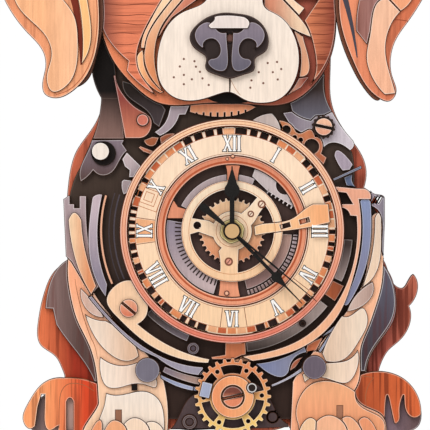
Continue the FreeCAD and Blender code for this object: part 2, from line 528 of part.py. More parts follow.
def arms():
    screw_seat = disc(-56.8, -42.4, 5.1, rear_of(5), 1.8)
    lug = plate([[(-55.6, -27), (-64, -29.6), (-69.1, -38), (-63, -47.8), (-45, -63.2), (-28, -70.6),
                  (-13, -72.7)], [(-12.2, -70.4)], [(-30, -65), (-45, -56.4), (-51.6, -51.2)],
                 [(-47.4, -47.4), (-46.1, -41)], [(-50, -34)]], 3, 2 * ply)
    keep("bezel_arms", lug)
    groove = turned(block(-63, -50, -42.9, -41.9, rear_of(5) - 1.1, 2), 40, -56.8, -42.4)
    keep("slotted_bolts", screw_seat.cut(groove))
    arm = plate([[(1, -72.4), (24, -69.4), (46, -59.8), (59.6, -44.8), (66.2, -28), (70.6, -8), (71.1, 8),
                  (70, 17.3)],
                 [(76.4, 17.3)], [(76.4, 20.5), (73, 23.5)], [(68, 23.6)], [(56.4, 24.7)], [(60.3, 12.7)],
                 [(63.4, 11.2), (64.8, 8.3)], [(68.3, 8)],
                 [(66.6, -17.5), (57.2, -40), (37, -59.8), (20, -66.2), (5.2, -68.8)],
                 [(4, -70.3)], [(1, -70.8)]], 3, 2 * ply)
    window = plate([[(58.2, 21.4)], [(62.8, 20.8)], [(66.2, 15)], [(60.4, 15)]], 3, 8, -1)
    keep("bezel_arms", arm.cut(window))
    low = -1.0
    keep("light_inlays",
         sector(61.8, 66.0, 202, 226, rear_of(3), ply + low), sector(61.8, 67.4, 128, 173, rear_of(3),
                                                                     ply + low),
         sector(61.8, 67.0, 94, 115, rear_of(3), ply + low))
    keep("copper_links",
         plate([[(-3.8, -61)], [(7.6, -61)], [(7.9, -68.3)], [(4.5, -69.2)], [(0.8, -71)], [(-11, -71)],
                [(-11.8, -69.4)], [(-4, -68.2)]], 3, 2),
         sector(61.8, 69.0, 116, 124.5, rear_of(3), 1.6),
         plate([[(40.8, -67.3), (41, -64), (50.8, -57.9)], [(46.5, -66)]], 3),
         plate([[(31.8, -77.4), (33.5, -72.4), (39.4, -69.3)], [(35, -75.3)]], 3),
         plate([[(-48.6, 50.2), (-47, 47.3), (-44, 46.5), (-41.3, 48.6)], [(-40, 51.6)], [(-44, 52)]], 3, 4),
         plate([[(-51.8, 46), (-50.5, 47)], [(-43, 44)], [(-44.6, 42)], [(-49, 43.6)]], 3),
         plate([[(-40, 51.4), (-36, 53.6), (-31, 53.9)], [(-34, 50)], [(-39, 46.6)]], 3))


def shoulders():
    keep("shoulder_plates", plate([
        [(-62.4, 73.2), (-60.8, 64), (-59.3, 50.7)], [(-76.8, 50.7)], [(-74.2, 59), (-72.1, 73.2)],
        [(-77.3, 88), (-77.6, 96), (-75, 108)], [(-66, 104)]], 3))
    keep("shoulder_plates", plate([
        [(-60.6, 83), (-56.5, 73), (-48.5, 67.3), (-43.5, 59.5)], [(-40, 57)], [(-36.3, 66.8)], [(-40, 72)],
        [(-50, 80)]], 3))
    keep("shoulder_plates", plate([
        [(-65.3, 85.4)], [(-58.9, 50.9)], [(-51.5, 50.9)],
        [(-45.2, 54.6), (-44.6, 62), (-51.5, 67.2), (-59.2, 74.5), (-64, 86)]], 4))
    keep("slotted_bolts", disc(-49.1, 61, 3.6, rear_of(5), 1.6))
    keep("light_inlays", plate([
        [(-77.4, 50.2)], [(-59.2, 50.4)], [(-60.4, 48.2)], [(-57.6, 44.2)],
        [(-62, 38.4), (-67.3, 31.4), (-70, 30.5), (-76.5, 33.2)], [(-81.2, 28.4), (-83.4, 27)],
        [(-84.2, 32), (-80.6, 42), (-77.4, 50.2)]], 3))
    bolt = disc(-70.7, 42.7, 6.8, rear_of(4), 1.4)
    head = disc(-72.3, 43.8, 4.9, rear_of(4) - 1.4, 3)
    keep("slotted_bolts", bolt.fuse(head))
    keep("light_inlays",
         plate([[(-33.8, 69.8)], [(-23, 69.8)], [(-25.5, 64)], [(-28.8, 63.9)], [(-33, 56.6), (-39.8, 52.2)],
                [(-43, 54.6)], [(-37.4, 59.4), (-34.8, 66)]], 3),
         plate([[(-60.7, 39.6)], [(-58, 43.6)], [(-45.6, 31.4)], [(-46.4, 29.8)], [(-57, 29.4)],
                [(-56.6, 33.4)], [(-59.2, 35.4)]], 3),
         plate([[(-61, 27.4), (-60.9, 23), (-59.9, 19.9)], [(-56.6, 21.2)], [(-53, 23.4)], [(-53.3, 27.6)],
                [(-59.6, 28.6)]], 3, 2),
         plate([[(11, 61)], [(19, 64.7), (22, 65)], [(23.8, 63.2), (27.2, 54.6)], [(20, 57.5)]], 3))
    ruler = plate([[(-22.8, 70.2)], [(-23.4, 65.6)], [(-12, 63.1), (-1, 63.1), (13.5, 68.4)], [(8, 70.2)]],
                  3)
    for n in range(8):
        ruler = ruler.cut(block(-19.8 + 3.85 * n, -19.1 + 3.85 * n, 60, 65.2 + 0.035 * (n - 2) ** 3 / 3,
                                -20, 10))
    keep("collar_ruler", ruler)
    keep("shoulder_plates", plate([
        [(33, 66), (38, 62.7), (43.5, 61)], [(46, 63.4)], [(51, 63.9)], [(55.3, 66)], [(52, 73), (51.2, 86)],
        [(44, 92)], [(31, 74)]], 3))
    lattice = plate([[(25.6, 61.2), (31, 59.8), (35.3, 55)], [(37.5, 54), (41.3, 55.7), (46, 52)],
                     [(48.6, 51.2), (50.2, 45.5), (49.4, 42.8)], [(52.4, 40.5)], [(50.6, 36.2)], [(45, 42)],
                     [(36, 50)], [(28, 55)]], 3)
    for x, z, radius in ((30, 55.9, 2.1), (34.6, 51.6, 1.0), (37.9, 50.2, 1.0), (43.9, 46.6, 3.9)):
        lattice = lattice.cut(disc(x, z, radius, -20, 10))
    keep("copper_links", lattice)
    keep("shoulder_plates", plate([
        [(27.8, 65.2)], [(33, 66)], [(55.4, 65.8)], [(62, 55.6), (66.6, 50.2)], [(67.5, 47.6), (65.1, 44.2)],
        [(61, 47.2), (57, 48.5), (50.6, 45.7)], [(49.5, 50)], [(44.8, 55)], [(38, 54.2)], [(32.5, 57.5)]],
        3, 2.4))
    keep("slotted_bolts", gear(14, 5.9, 6.6, rear_of(4), 1.4, (50.4, 57.3)))
    keep("slotted_bolts", slotted_disc(50.4, 57.3, 4.9, rear_of(4) - 1.4, 2.6, 12))
    keep("light_inlays",
         plate([[(56.3, 41.5), (57.8, 44.6), (62.5, 42), (66.8, 36.6)], [(65, 33.6)], [(61, 33)],
                [(58.6, 36.3), (56.3, 41.5)]], 3),
         plate([[(55.4, 28.9)], [(71.2, 36.2)], [(71.6, 34.4)], [(56, 27.4)]], 4, 1.2),
         plate([[(61.6, 29.6)], [(67, 31.6)], [(66.4, 28), (69, 24)], [(63, 25)]], 3, 1.6))


def bottom_gear():
    x, z = drive_centre
    rear = plate([[(-34, -109.4)], [(-31, -105.5), (-25.5, -94.5), (-18, -89)], [(-10, -84)], [(12, -84)],
                  [(19, -89), (25, -100.5), (31, -106.5)], [(31, -108.2)], [(0, -109.4)]], 3)
    rear = rear.fuse(disc(-23.4, -105.2, 4.1, -26.5, 1.7).cut(disc(-23.4, -105.2, 2.2, -27.4, 2)))
    keep("gear_backplate", rear.cut(tube(3.4, 2.7, -26.2, 2, 22.4, -102.6)).removeSplitter())
    keep("slotted_bolts", disc(-21.4, -64.8, 3.4, rear_of(3), 3.2).cut(disc(-21.4, -64.8, 1.6, -26.5, 2)))
    keep("slotted_bolts", disc(39.0, -51.0, 2.0, rear_of(3), 3.4).cut(disc(39.0, -51.0, 0.8, -26.8, 2)))
    y = gear_rear
    wheel = gear(drive_teeth, drive_radius - 2.0, drive_radius, y, 2.8, drive_centre, 0, (0.62, 0.34))
    for n in range(6):
        window = turned(sector(13.0, 17.2, -20, 20, y + 1, 6), 60 * n - 2)
        window.translate(Vector(x, 0, z))
        hole = disc(x + polar(16, 60 * n + 28)[0], z + polar(16, 60 * n + 28)[1], 1.0, y + 1, 6)
        wheel = wheel.cut(window).cut(hole)
    keep("drive_gear", wheel.cut(disc(x, z, drive_bore, y + 1, 6)), trim=False)
    tab = turned(block(-17.4, -11.4, -91.6, -83.0, y - 2.8, 1.4), 14, -14.4, -87.3)
    stud = disc(10.9, -86, 2.9, y - 2.8, 3.2)
    rim = tube(11.8, 6.3, y - 2.8, 2.2, x, z).cut(stud)
    keep("gear_hub", tab.cut(rim), stud, rim, trim=False)
    pin = disc(x, z, drive_bore - running_gap, -27, 4.0).fuse(slotted_disc(x, z, 5.9, -30.8, 1.6, -12))
    keep("gear_pin", pin, trim=False)


# ---- head ----

def head():
    outline = ring_wire([(-72.8, 128), (-70, 104), (-65, 93), (-53, 79), (-40, 70.3), (-18, 69.9), (6, 70),
                         (30, 70), (45, 80), (55.2, 98), (57.5, 120), (52, 150), (34, 172), (6, 181.5),
                         (-26, 181), (-52, 169), (-68, 150)])
    keep("head_plate", push(outline, rear_of(3), 2 * ply))


def ears():
    y = rear_of(5)
    keep("ear_backings",
         push(ring_wire([(-71, 128), (-71.2, 110), (-74.6, 95), (-82, 80.5), (-94, 79), (-98, 96),
                         (-112, 118),
                         (-118, 142), (-104, 162), (-76, 169), (-58, 160), (-62, 144)]), y, ply),
         push(ring_wire([(56.4, 128), (58, 112), (61.2, 100.5), (66.7, 88), (72.8, 77.9), (80.4, 71.7),
                         (84, 80),
                         (82, 98), (94, 120), (100, 142), (88, 160), (62, 168), (44, 160), (48, 144)]), y,
                         ply))
    keep("ears", push(ring_wire([
        (-73.1, 128), (-72.8, 110), (-75, 96), (-80.3, 84), (-88, 76.2), (-96.7, 72.8), (-102.6, 75),
        (-103.9, 81), (-102.2, 90), (-103.5, 98), (-112, 108.4), (-121, 120), (-128, 135), (-129, 152),
        (-116, 166), (-90, 174.5), (-62, 175), (-50, 165), (-55, 151), (-67, 139)]), rear_of(6), ply))
    keep("ears", push(ring_wire([
        (58.4, 126), (60.4, 109), (66, 93.4), (72, 81.4), (80, 73), (86.5, 71.2), (89.9, 75.6), (88, 84),
        (86.8, 93), (89.4, 104), (97, 115.4), (105, 128), (110.5, 142), (107, 156), (94, 168), (70, 174.5),
        (48, 173), (36, 163), (41, 150), (52, 139)]), rear_of(6), ply))
    thin = 1.2
    keep("ear_panels",
         plate([[(-119.3, 127), (-112.5, 117), (-101.2, 105), (-99, 96), (-101.6, 83), (-98.5, 76.2),
                 (-90.5, 79.3), (-85, 90), (-84.2, 104), (-87, 119.5), (-93.5, 128.5), (-102, 140),
                 (-114, 141), (-119.3, 127)]], 7, thin),
         plate([[(-82.3, 91.4), (-77.9, 100), (-77, 112), (-79.6, 130)], [(-85, 130)], [(-82.2, 112),
                                                                                     (-82.3, 91.4)]], 7,
                                                                                     thin),
         plate([[(83.5, 74.6), (76, 85), (73.4, 95), (75.4, 108), (82, 127), (85, 127.5)],
                [(92.2, 120)], [(86, 110.5), (84, 99), (86.5, 86), (89.6, 75.2)]], 7, thin),
         plate([[(69.5, 127), (67.9, 116), (67.8, 109.5)], [(73.8, 102)], [(75.8, 110), (82, 127)]], 7,
               thin),
         plate([[(85, 128)], [(92.3, 120.2)], [(99, 127.5), (100, 138)], [(90, 140)]], 7, thin))


def face():
    keep("cheek_plates", plate([
        [(-69, 140), (-72, 126), (-70.6, 110), (-65.5, 101.6), (-57, 93.3)], [(-58, 88)],
        [(-50, 80), (-41.5, 74.3)], [(-45, 79), (-51, 88), (-52.2, 97), (-49.8, 106), (-45, 116),
                                     (-38.5, 127)],
        [(-40, 140)]], 5))
    strips_left = [
        [[(-27, 138.6), (-38.2, 127.4), (-45, 115.4), (-49.6, 105), (-50, 100.4)], [(-48, 100.4)],
         [(-46, 108.5), (-40.5, 117.8), (-33, 127.4), (-26.2, 138)]],
        [[(-49, 99.6)], [(-52.4, 95), (-50.6, 87), (-46, 80.4), (-39.5, 75.6)], [(-37.4, 76.2)],
         [(-43.3, 81.8), (-47.6, 89.4), (-48.4, 96)]],
        [[(-21.4, 141), (-32.6, 127.4), (-40.2, 117.6), (-45.8, 108.4), (-47.8, 100.4)], [(-48.2, 94),
            (-43, 81.9), (-38.6, 77)],
         [(-40, 81.5), (-42, 90), (-42.2, 100), (-38.5, 112.5), (-27, 127.4), (-20.4, 140)]],
        [[(-17.6, 143), (-26.4, 127.4), (-36.4, 115), (-40.8, 105.5)], [(-33, 117)], [(-18.5, 127.4)],
         [(-16.2, 142)]],
    ]
    strips_right = [
        [[(17.6, 123.4), (33.8, 110.5), (43.4, 106.4)], [(38.2, 116), (28, 127), (21.4, 143)], [(20.2, 142)],
         [(17.6, 127)]],
        [[(24.6, 138)], [(28.6, 127)], [(36.8, 118.4)], [(39.9, 122.4)], [(34, 127), (25.8, 138.6)]],
        [[(37.4, 100), (37.6, 90), (36.8, 84.6)], [(41.4, 86), (42.5, 93), (39.2, 107)], [(34, 110)]],
        [[(36.6, 84), (33, 78), (29.6, 74)], [(38, 78.8)], [(42.2, 84.6)]],
    ]
    cheek = plate([[(56.5, 138), (57, 118), (54.6, 99), (48, 86), (42.6, 80)],
                   [(46, 89), (45, 100), (41, 113), (39.6, 115.5)], [(47.4, 127)], [(44, 138)]], 5)
    keep("muzzle", push(ring_wire([
        (-12.5, 130), (-16, 124.9), (-26, 120.5), (-34.6, 113.6), (-39.7, 102.5), (-41.2, 92), (-39, 80.3),
        (-31, 72.8), (-20, 71.4), (-8, 74.7), (-1.2, 75.9), (6, 72.2), (16, 70), (26, 72.2), (34, 81.4),
        (36.8, 95), (33, 109.5), (24.5, 118.7), (17.8, 123), (17, 131), (15, 146), (9, 160), (2, 166),
        (-6, 159), (-10.5, 146)]), rear_of(5), 2 * ply))
    keep("face_strips", *[plate(runs, 5) for runs in strips_left])
    keep("cheek_plates", cheek)
    keep("face_strips", *[plate(runs, 5) for runs in strips_right])
    keep("cheek_plates",
         plate([[(-13.5, 127.5)], [(-38, 127.5)], [(-40, 142), (-50, 150), (-64, 152)],
                [(-58, 163), (-36, 175), (-10, 179)], [(-10, 150)]], 5),
         plate([[(19, 127.2)], [(46.9, 127.2)], [(43.6, 142), (48, 152)], [(36, 165), (22, 174), (-6, 179)],
                [(4, 168), (16, 148)]], 5))
    keep("eyes", disc(-30, 145, 7.5, rear_of(6), 2.4), disc(29, 145, 7.5, rear_of(6), 2.4))
    keep("nose_base", push(ring_wire([
        (0, 119.2), (-10, 118.3), (-19, 113), (-23.2, 106.5), (-20, 99.5), (-14.2, 94.4), (-14.7, 89.5),
        (-8, 85.2), (-1.2, 83.4), (6, 85.4), (12.4, 88.8), (12.4, 93.6), (18, 98), (20, 104), (15, 114.5),
        (9, 117.8)]), rear_of(7), ply))
    thin = 1.8
    half = [[(-2.6, 108.8), (-8, 109.6), (-12.5, 114), (-17.6, 112.4), (-20.5, 107), (-18.6, 102),
             (-14.6, 99.2)],
            [(-15.4, 102.8), (-10.6, 104.9), (-7.3, 102.2), (-7.2, 96), (-11, 94.2)],
            [(-13.2, 92.4), (-9.6, 88), (-4.4, 87.4), (-2.2, 97), (-2.6, 108.8)]]
    mirrored = [[(-2.6 - x, z) for x, z in run] for run in half]
    keep("nose_plates", plate(half, 8, thin), plate(mirrored, 8, thin))
    keep("nose_plates", plate([
        [(-10, 117.2), (-2, 117.8), (6.5, 116.9)], [(9.6, 113.6), (8.4, 110.4)], [(-11.5, 110.4)],
        [(-13, 112.2), (-10.6, 114.4), (-10, 117.2)]], 8, 2.6))


def main():
    os.makedirs("parts", exist_ok=True)
    for build in (movement, arbors, hands, rear_frame, back_plates, haunches, head, dial_rings, skeleton,
                  numerals, side_arcs, arms, shoulders, bottom_gear, front_legs, hind_feet, leg_panels,
                  ears, face):
        build()
    for name, solids in nodes.items():
        shape = solids[0] if len(solids) == 1 else Part.makeCompound(solids)
        shape.exportStep(f"parts/{name}.step")
    print(len(nodes), "nodes,", len(placed), "solids")


main()
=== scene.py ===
import json
import math

import bmesh
import bpy
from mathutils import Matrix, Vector


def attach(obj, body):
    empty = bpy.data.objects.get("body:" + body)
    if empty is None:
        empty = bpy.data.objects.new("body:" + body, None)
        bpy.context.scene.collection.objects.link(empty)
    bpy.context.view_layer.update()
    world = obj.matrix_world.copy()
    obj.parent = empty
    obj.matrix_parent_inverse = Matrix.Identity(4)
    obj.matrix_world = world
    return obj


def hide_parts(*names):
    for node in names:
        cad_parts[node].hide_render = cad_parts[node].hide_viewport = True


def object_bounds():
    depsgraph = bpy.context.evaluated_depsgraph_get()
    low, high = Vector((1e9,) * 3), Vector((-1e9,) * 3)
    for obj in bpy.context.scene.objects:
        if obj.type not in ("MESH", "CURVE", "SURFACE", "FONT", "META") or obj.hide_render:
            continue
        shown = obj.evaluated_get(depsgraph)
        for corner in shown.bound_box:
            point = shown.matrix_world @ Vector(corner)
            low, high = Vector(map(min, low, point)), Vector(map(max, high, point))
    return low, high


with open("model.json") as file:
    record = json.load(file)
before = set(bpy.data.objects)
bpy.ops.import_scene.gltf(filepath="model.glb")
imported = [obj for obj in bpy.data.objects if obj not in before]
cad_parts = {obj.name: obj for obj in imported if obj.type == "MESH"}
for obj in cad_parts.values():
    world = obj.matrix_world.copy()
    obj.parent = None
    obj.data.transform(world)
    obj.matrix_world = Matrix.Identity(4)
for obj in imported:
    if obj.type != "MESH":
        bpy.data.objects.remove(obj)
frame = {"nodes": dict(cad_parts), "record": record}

cadBox = [list(corner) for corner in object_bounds()]
nodes = frame["nodes"]
bodyOfNode = {node: body for body, members in frame["record"]["behaviour"]["bodies"].items()
              for node in members}
mm = 0.001


def colourOf(hexText):  # sRGB hex to the linear colour that a shader wants
    channels = [int(hexText[i:i + 2], 16) / 255 for i in (1, 3, 5)]
    return tuple(c / 12.92 if c < 0.04045 else ((c + 0.055) / 1.055) ** 2.4 for c in channels) + (1.0,)


def blended(first, second, share):
    a, b = colourOf(first), colourOf(second)
    return tuple(x + (y - x) * share for x, y in zip(a, b))


class Value:
    def __init__(self, finish, socket):
        self.finish, self.socket = finish, socket

    def maths(self, operation, first, second):
        return self.finish.node("ShaderNodeMath", {"operation": operation}, {0: first, 1: second})

    def __add__(self, other):
        return self.maths("ADD", self, other)

    def __sub__(self, other):
        return self.maths("SUBTRACT", self, other)

    def __rsub__(self, other):
        return self.maths("SUBTRACT", other, self)

    def __mul__(self, other):
        return self.maths("MULTIPLY", self, other)

    def __gt__(self, other):
        return self.maths("GREATER_THAN", self, other)

    __radd__ = __add__
    __rmul__ = __mul__


class Finish:
    def __init__(self, name, roughness=0.6, metallic=0.0, coat=0.0):
        self.material = bpy.data.materials.new(name)
        self.material.use_nodes = True
        self.tree = self.material.node_tree
        self.shader = self.tree.nodes["Principled BSDF"]
        self.shader.inputs["Roughness"].default_value = roughness
        self.shader.inputs["Metallic"].default_value = metallic
        self.shader.inputs["Coat Weight"].default_value = coat
        self.shader.inputs["Specular IOR Level"].default_value = 0.5 if metallic else 0.12
        self.place = self.node("ShaderNodeTexCoord", output="Object")

    def node(self, kind, settings=None, sockets=None, output=0):
        made = self.tree.nodes.new(kind)
        for key, value in (settings or {}).items():
            if key == "stops":
                while len(made.color_ramp.elements) < len(value):
                    made.color_ramp.elements.new(0.5)
                for stop, (position, colour) in zip(made.color_ramp.elements, value):
                    stop.position, stop.color = position, colour
            else:
                setattr(made, key, value)
        for key, value in (sockets or {}).items():
            self.feed(made.inputs[key], value)
        return Value(self, made.outputs[output])

    def feed(self, target, value):
        if isinstance(value, Value):
            self.tree.links.new(value.socket, target)
        else:
            target.default_value = value

    def set(self, name, value):
        self.feed(self.shader.inputs[name], value)

    def mix(self, share, first, second, way="MIX"):
        return self.node("ShaderNodeMix", {"data_type": "RGBA", "blend_type": way},
                         {0: share, 6: first, 7: second}, 2)

    def stretched(self, scale, turn=(0.0, 0.0, 0.0)):
        return self.node("ShaderNodeMapping", {}, {"Vector": self.place, "Scale": scale, "Rotation": turn})

    def noise(self, vector, scale, detail=3.0, output="Fac"):
        return self.node("ShaderNodeTexNoise", {}, {"Vector": vector, "Scale": scale, "Detail": detail}, output)

    def ramp(self, value, *stops):
        return self.node("ShaderNodeValToRGB", {"stops": stops}, {"Fac": value})

    def bump(self, height, strength, distance=0.0002):
        self.set("Normal", self.node("ShaderNodeBump", {}, {"Height": height, "Strength": strength,
                                                           "Distance": distance}))


def axisValue(finish, axis):
    split = finish.node("ShaderNodeSeparateXYZ", {}, {0: finish.place}, output="XYZ".index(axis))
    return split


def spanOf(finish, axis, start, end):  # 0 at start, 1 at end, both in millimetres
    return finish.node("ShaderNodeMapRange", {}, {"Value": axisValue(finish, axis), "From Min": start * mm,
                                                 "From Max": end * mm})


printed = {
    "grainScale": 900.0,
    "grainDepth": 0.12,
    "cloudDepth": 0.10,
    "streakScale": 420.0,
    "streakStretch": 0.035,
    "streakDark": "#5A1C10",
}
madeFinishes = {}


def printedPly(low, high=None, axis="Z", start=0.0, end=1.0, streak=0.0, level=False):
    key = ("ply", low, high, axis, start, end, streak, level)
    if key in madeFinishes:
        return madeFinishes[key]
    finish = Finish("printedPly" + low.strip("#") + (high or "").strip("#"))
    base = colourOf(low)
    if high:
        base = finish.mix(spanOf(finish, axis, start, end), base, colourOf(high))
    narrow = printed["streakStretch"]
    long = finish.stretched((0.09, 1.0, 1.0) if level else (1.0, 1.0, 0.09), (0.0, 0.07, 0.0))
    grain = finish.noise(long, printed["grainScale"], 4.0)
    cloud = finish.noise(finish.place, 60.0, 2.0)
    fleck = finish.noise(long, 2600.0, 2.0)
    dark = finish.ramp(grain, (0.36, (0.0, 0.0, 0.0, 1.0)), (0.66, (1.0, 1.0, 1.0, 1.0)))
    tone = (1.0 - printed["grainDepth"]) + dark * printed["grainDepth"]
    tone = tone + (cloud - 0.5) * printed["cloudDepth"]
    grey = finish.node("ShaderNodeCombineColor", {}, {0: tone, 1: tone, 2: tone})
    surface = finish.mix(1.0, base, grey, "MULTIPLY")
    if streak:
        drawn = finish.stretched((narrow, 1.0, 1.0) if level else (1.0, 1.0, narrow), (0.0, 0.05, 0.0))
        bands = finish.noise(drawn, printed["streakScale"], 3.0)
        lines = finish.ramp(bands, (0.40, (1.0, 1.0, 1.0, 1.0)), (0.50, (0.0, 0.0, 0.0, 1.0)))
        surface = finish.mix(lines * streak, surface, colourOf(printed["streakDark"]))
    finish.set("Base Color", surface)
    finish.set("Roughness", 0.5 + fleck * 0.2)
    finish.bump(grain + fleck * 0.5, 0.25)
    madeFinishes[key] = finish.material
    return finish.material


def burntEdge():  # laser-charred sides, with the three veneers just showing
    finish = Finish("burntEdge", 0.75)
    layer = finish.node("ShaderNodeMath", {"operation": "FRACT"}, {0: axisValue(finish, "Y") * (1 / mm)})
    char = finish.noise(finish.stretched((1.0, 0.3, 1.0)), 700.0, 3.0)
    veneer = finish.mix((layer > 0.5) * 0.5 + char * 0.4, colourOf("#4A2817"), colourOf("#1E0F09"))
    finish.set("Base Color", veneer)
    finish.bump(char, 0.3)
    return finish.material


def barePly():  # unprinted birch on the rear faces
    finish = Finish("barePly", 0.62)
    long = finish.stretched((1.0, 1.0, 0.06))
    grain = finish.noise(long, 500.0, 5.0)
    finish.set("Base Color", finish.ramp(grain, (0.3, colourOf("#C29A63")), (0.55, colourOf("#DDBB88")),
                                         (0.75, colourOf("#E8CC9E"))))
    finish.bump(grain, 0.3)
    return finish.material


def outlineInk(colour="#32150C"):
    key = ("ink", colour)
    if key not in madeFinishes:
        finish = Finish("outlineInk" + colour.strip("#"), 0.6)
        worn = finish.noise(finish.place, 900.0, 2.0)
        finish.set("Base Color", finish.mix(worn * 0.25, colourOf(colour), blended(colour, "#D8A070", 0.25)))
        finish.bump(worn, 0.2)
        madeFinishes[key] = finish.material
    return madeFinishes[key]


sideFinish = burntEdge()
rearFinish = barePly()


def solidsOf(mesh):  # polygon lists, one per closed solid, in the order in which the solids were made
    solids, current, openEdges = [], [], set()
    spots = [tuple(round(c, 7) for c in vertex.co) for vertex in mesh.vertices]
    for polygon in mesh.polygons:
        ring = [spots[i] for i in polygon.vertices]
        current.append(ring)
        for a, b in zip(ring, ring[1:] + ring[:1]):
            if a != b:
                openEdges ^= {(min(a, b), max(a, b))}
        if not openEdges:
            solids.append(current)
            current = []
    if current:
        solids.append(current)
    return solids


def dressSolid(bm, rings, line, rim, chamfer, faceSlot, highlightSlot, lineSlot, lowSlot):
    verts = {}
    for ring in rings:
        for spot in ring:
            if spot not in verts:
                verts[spot] = bm.verts.new(spot)
    front = {}
    for ring in rings:
        corners = [verts[spot] for spot in dict.fromkeys(ring)]
        if len(corners) < 3:
            continue
        a, b, c = (corner.co for corner in corners[:3])
        normal = (b - a).cross(c - a)
        if normal.length < 1e-13:
            continue
        normal.normalize()
        if normal.y < -0.99:
            front.setdefault(round(a.y, 5), []).append(corners)
        else:
            try:
                face = bm.faces.new(corners)
            except ValueError:
                continue
            face.material_index = 1 if normal.y > 0.99 else 0
    for depth, faces in front.items():
        slots = (faceSlot, highlightSlot) if depth == min(front) else (lowSlot, lowSlot)
        inlaid(bm, faces, line, rim, chamfer, *slots, lineSlot)


# Lays an ink line along each border, then a paler band that is a painted highlight, then the face print.
def inlaid(bm, faces, line, rim, chamfer, faceSlot, highlightSlot, lineSlot):
    directed = {}
    for corners in faces:
        for a, b in zip(corners, corners[1:] + corners[:1]):
            directed[(a, b)] = True
    border = [(a, b) for a, b in directed if (b, a) not in directed]
    inward = {}
    for a, b in border:
        along = (b.co - a.co).normalized()
        side = Vector((-along.z, 0.0, along.x))  # left of the edge when it is seen from the front
        inward.setdefault(a, []).append(side)
        inward.setdefault(b, []).append(side)
    step = {}
    for vert, sides in inward.items():
        total = sum(sides, Vector())
        if total.length < 1e-6:
            step[vert] = sides[0] * 0.2
            continue
        mitre = len(sides) / max(total.length, 1e-6)
        step[vert] = total.normalized() * min(mitre, 1.8)
    inner, innermost = {}, {}
    for vert, way in step.items():
        inner[vert] = bm.verts.new(vert.co + way * line)
        innermost[vert] = bm.verts.new(vert.co + way * (line + rim))
    for a, b in border:
        for quad, slot in (((a, b, inner[b], inner[a]), lineSlot),
                           ((inner[a], inner[b], innermost[b], innermost[a]), highlightSlot)):
            bm.faces.new(quad).material_index = slot
    for corners in faces:
        try:
            face = bm.faces.new([innermost.get(v, v) for v in corners])
        except ValueError:
            continue
        face.material_index = faceSlot
    for vert in step:
        vert.co.y += chamfer


def dressed(node, paints, line=0.26, rim=0.32, chamfer=0.2, ink="#32150C"):
    bm = bmesh.new()
    piece = bpy.data.objects.new(node + "_printed", bpy.data.meshes.new(node + "_printed"))
    materials = [sideFinish, rearFinish]
    solids = solidsOf(nodes[node].data)
    for index, rings in enumerate(solids):
        paint = paints[index % len(paints)]
        slots = []
        for material in (paint["face"], paint["rim"], outlineInk(paint.get("ink", ink)),
                         paint.get("deep", paint["face"])):
            if material not in materials:
                materials.append(material)
            slots.append(materials.index(material))
        dressSolid(bm, rings, paint.get("line", line) * mm, paint.get("rimWidth", rim) * mm, chamfer * mm,
                   *slots)
    bm.normal_update()
    bm.to_mesh(piece.data)
    bm.free()
    for material in materials:
        piece.data.materials.append(material)
    bpy.context.scene.collection.objects.link(piece)
    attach(piece, bodyOfNode[node])
    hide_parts(node)
    return piece


# Mixes a colour towards white by the given share; used for the painted highlight band along plate edges.
def highlightTint(text, highlightShare):
    if text is None:
        return None
    mixed = [int(int(text[i:i + 2], 16) * (1 - highlightShare) + 255 * highlightShare) for i in (1, 3, 5)]
    return "#" + "".join(f"{value:02X}" for value in mixed)


# Each paint pairs the face print with a paler copy of it, laid along every edge as a painted highlight.
def paint(low, high=None, axis="Z", start=0.0, end=1.0, highlightShare=0.4, streak=0.0, level=False, **extra):
    return {"face": printedPly(low, high, axis, start, end, streak, level),
            "rim": printedPly(highlightTint(low, highlightShare), highlightTint(high, highlightShare), axis, start, end), **extra}


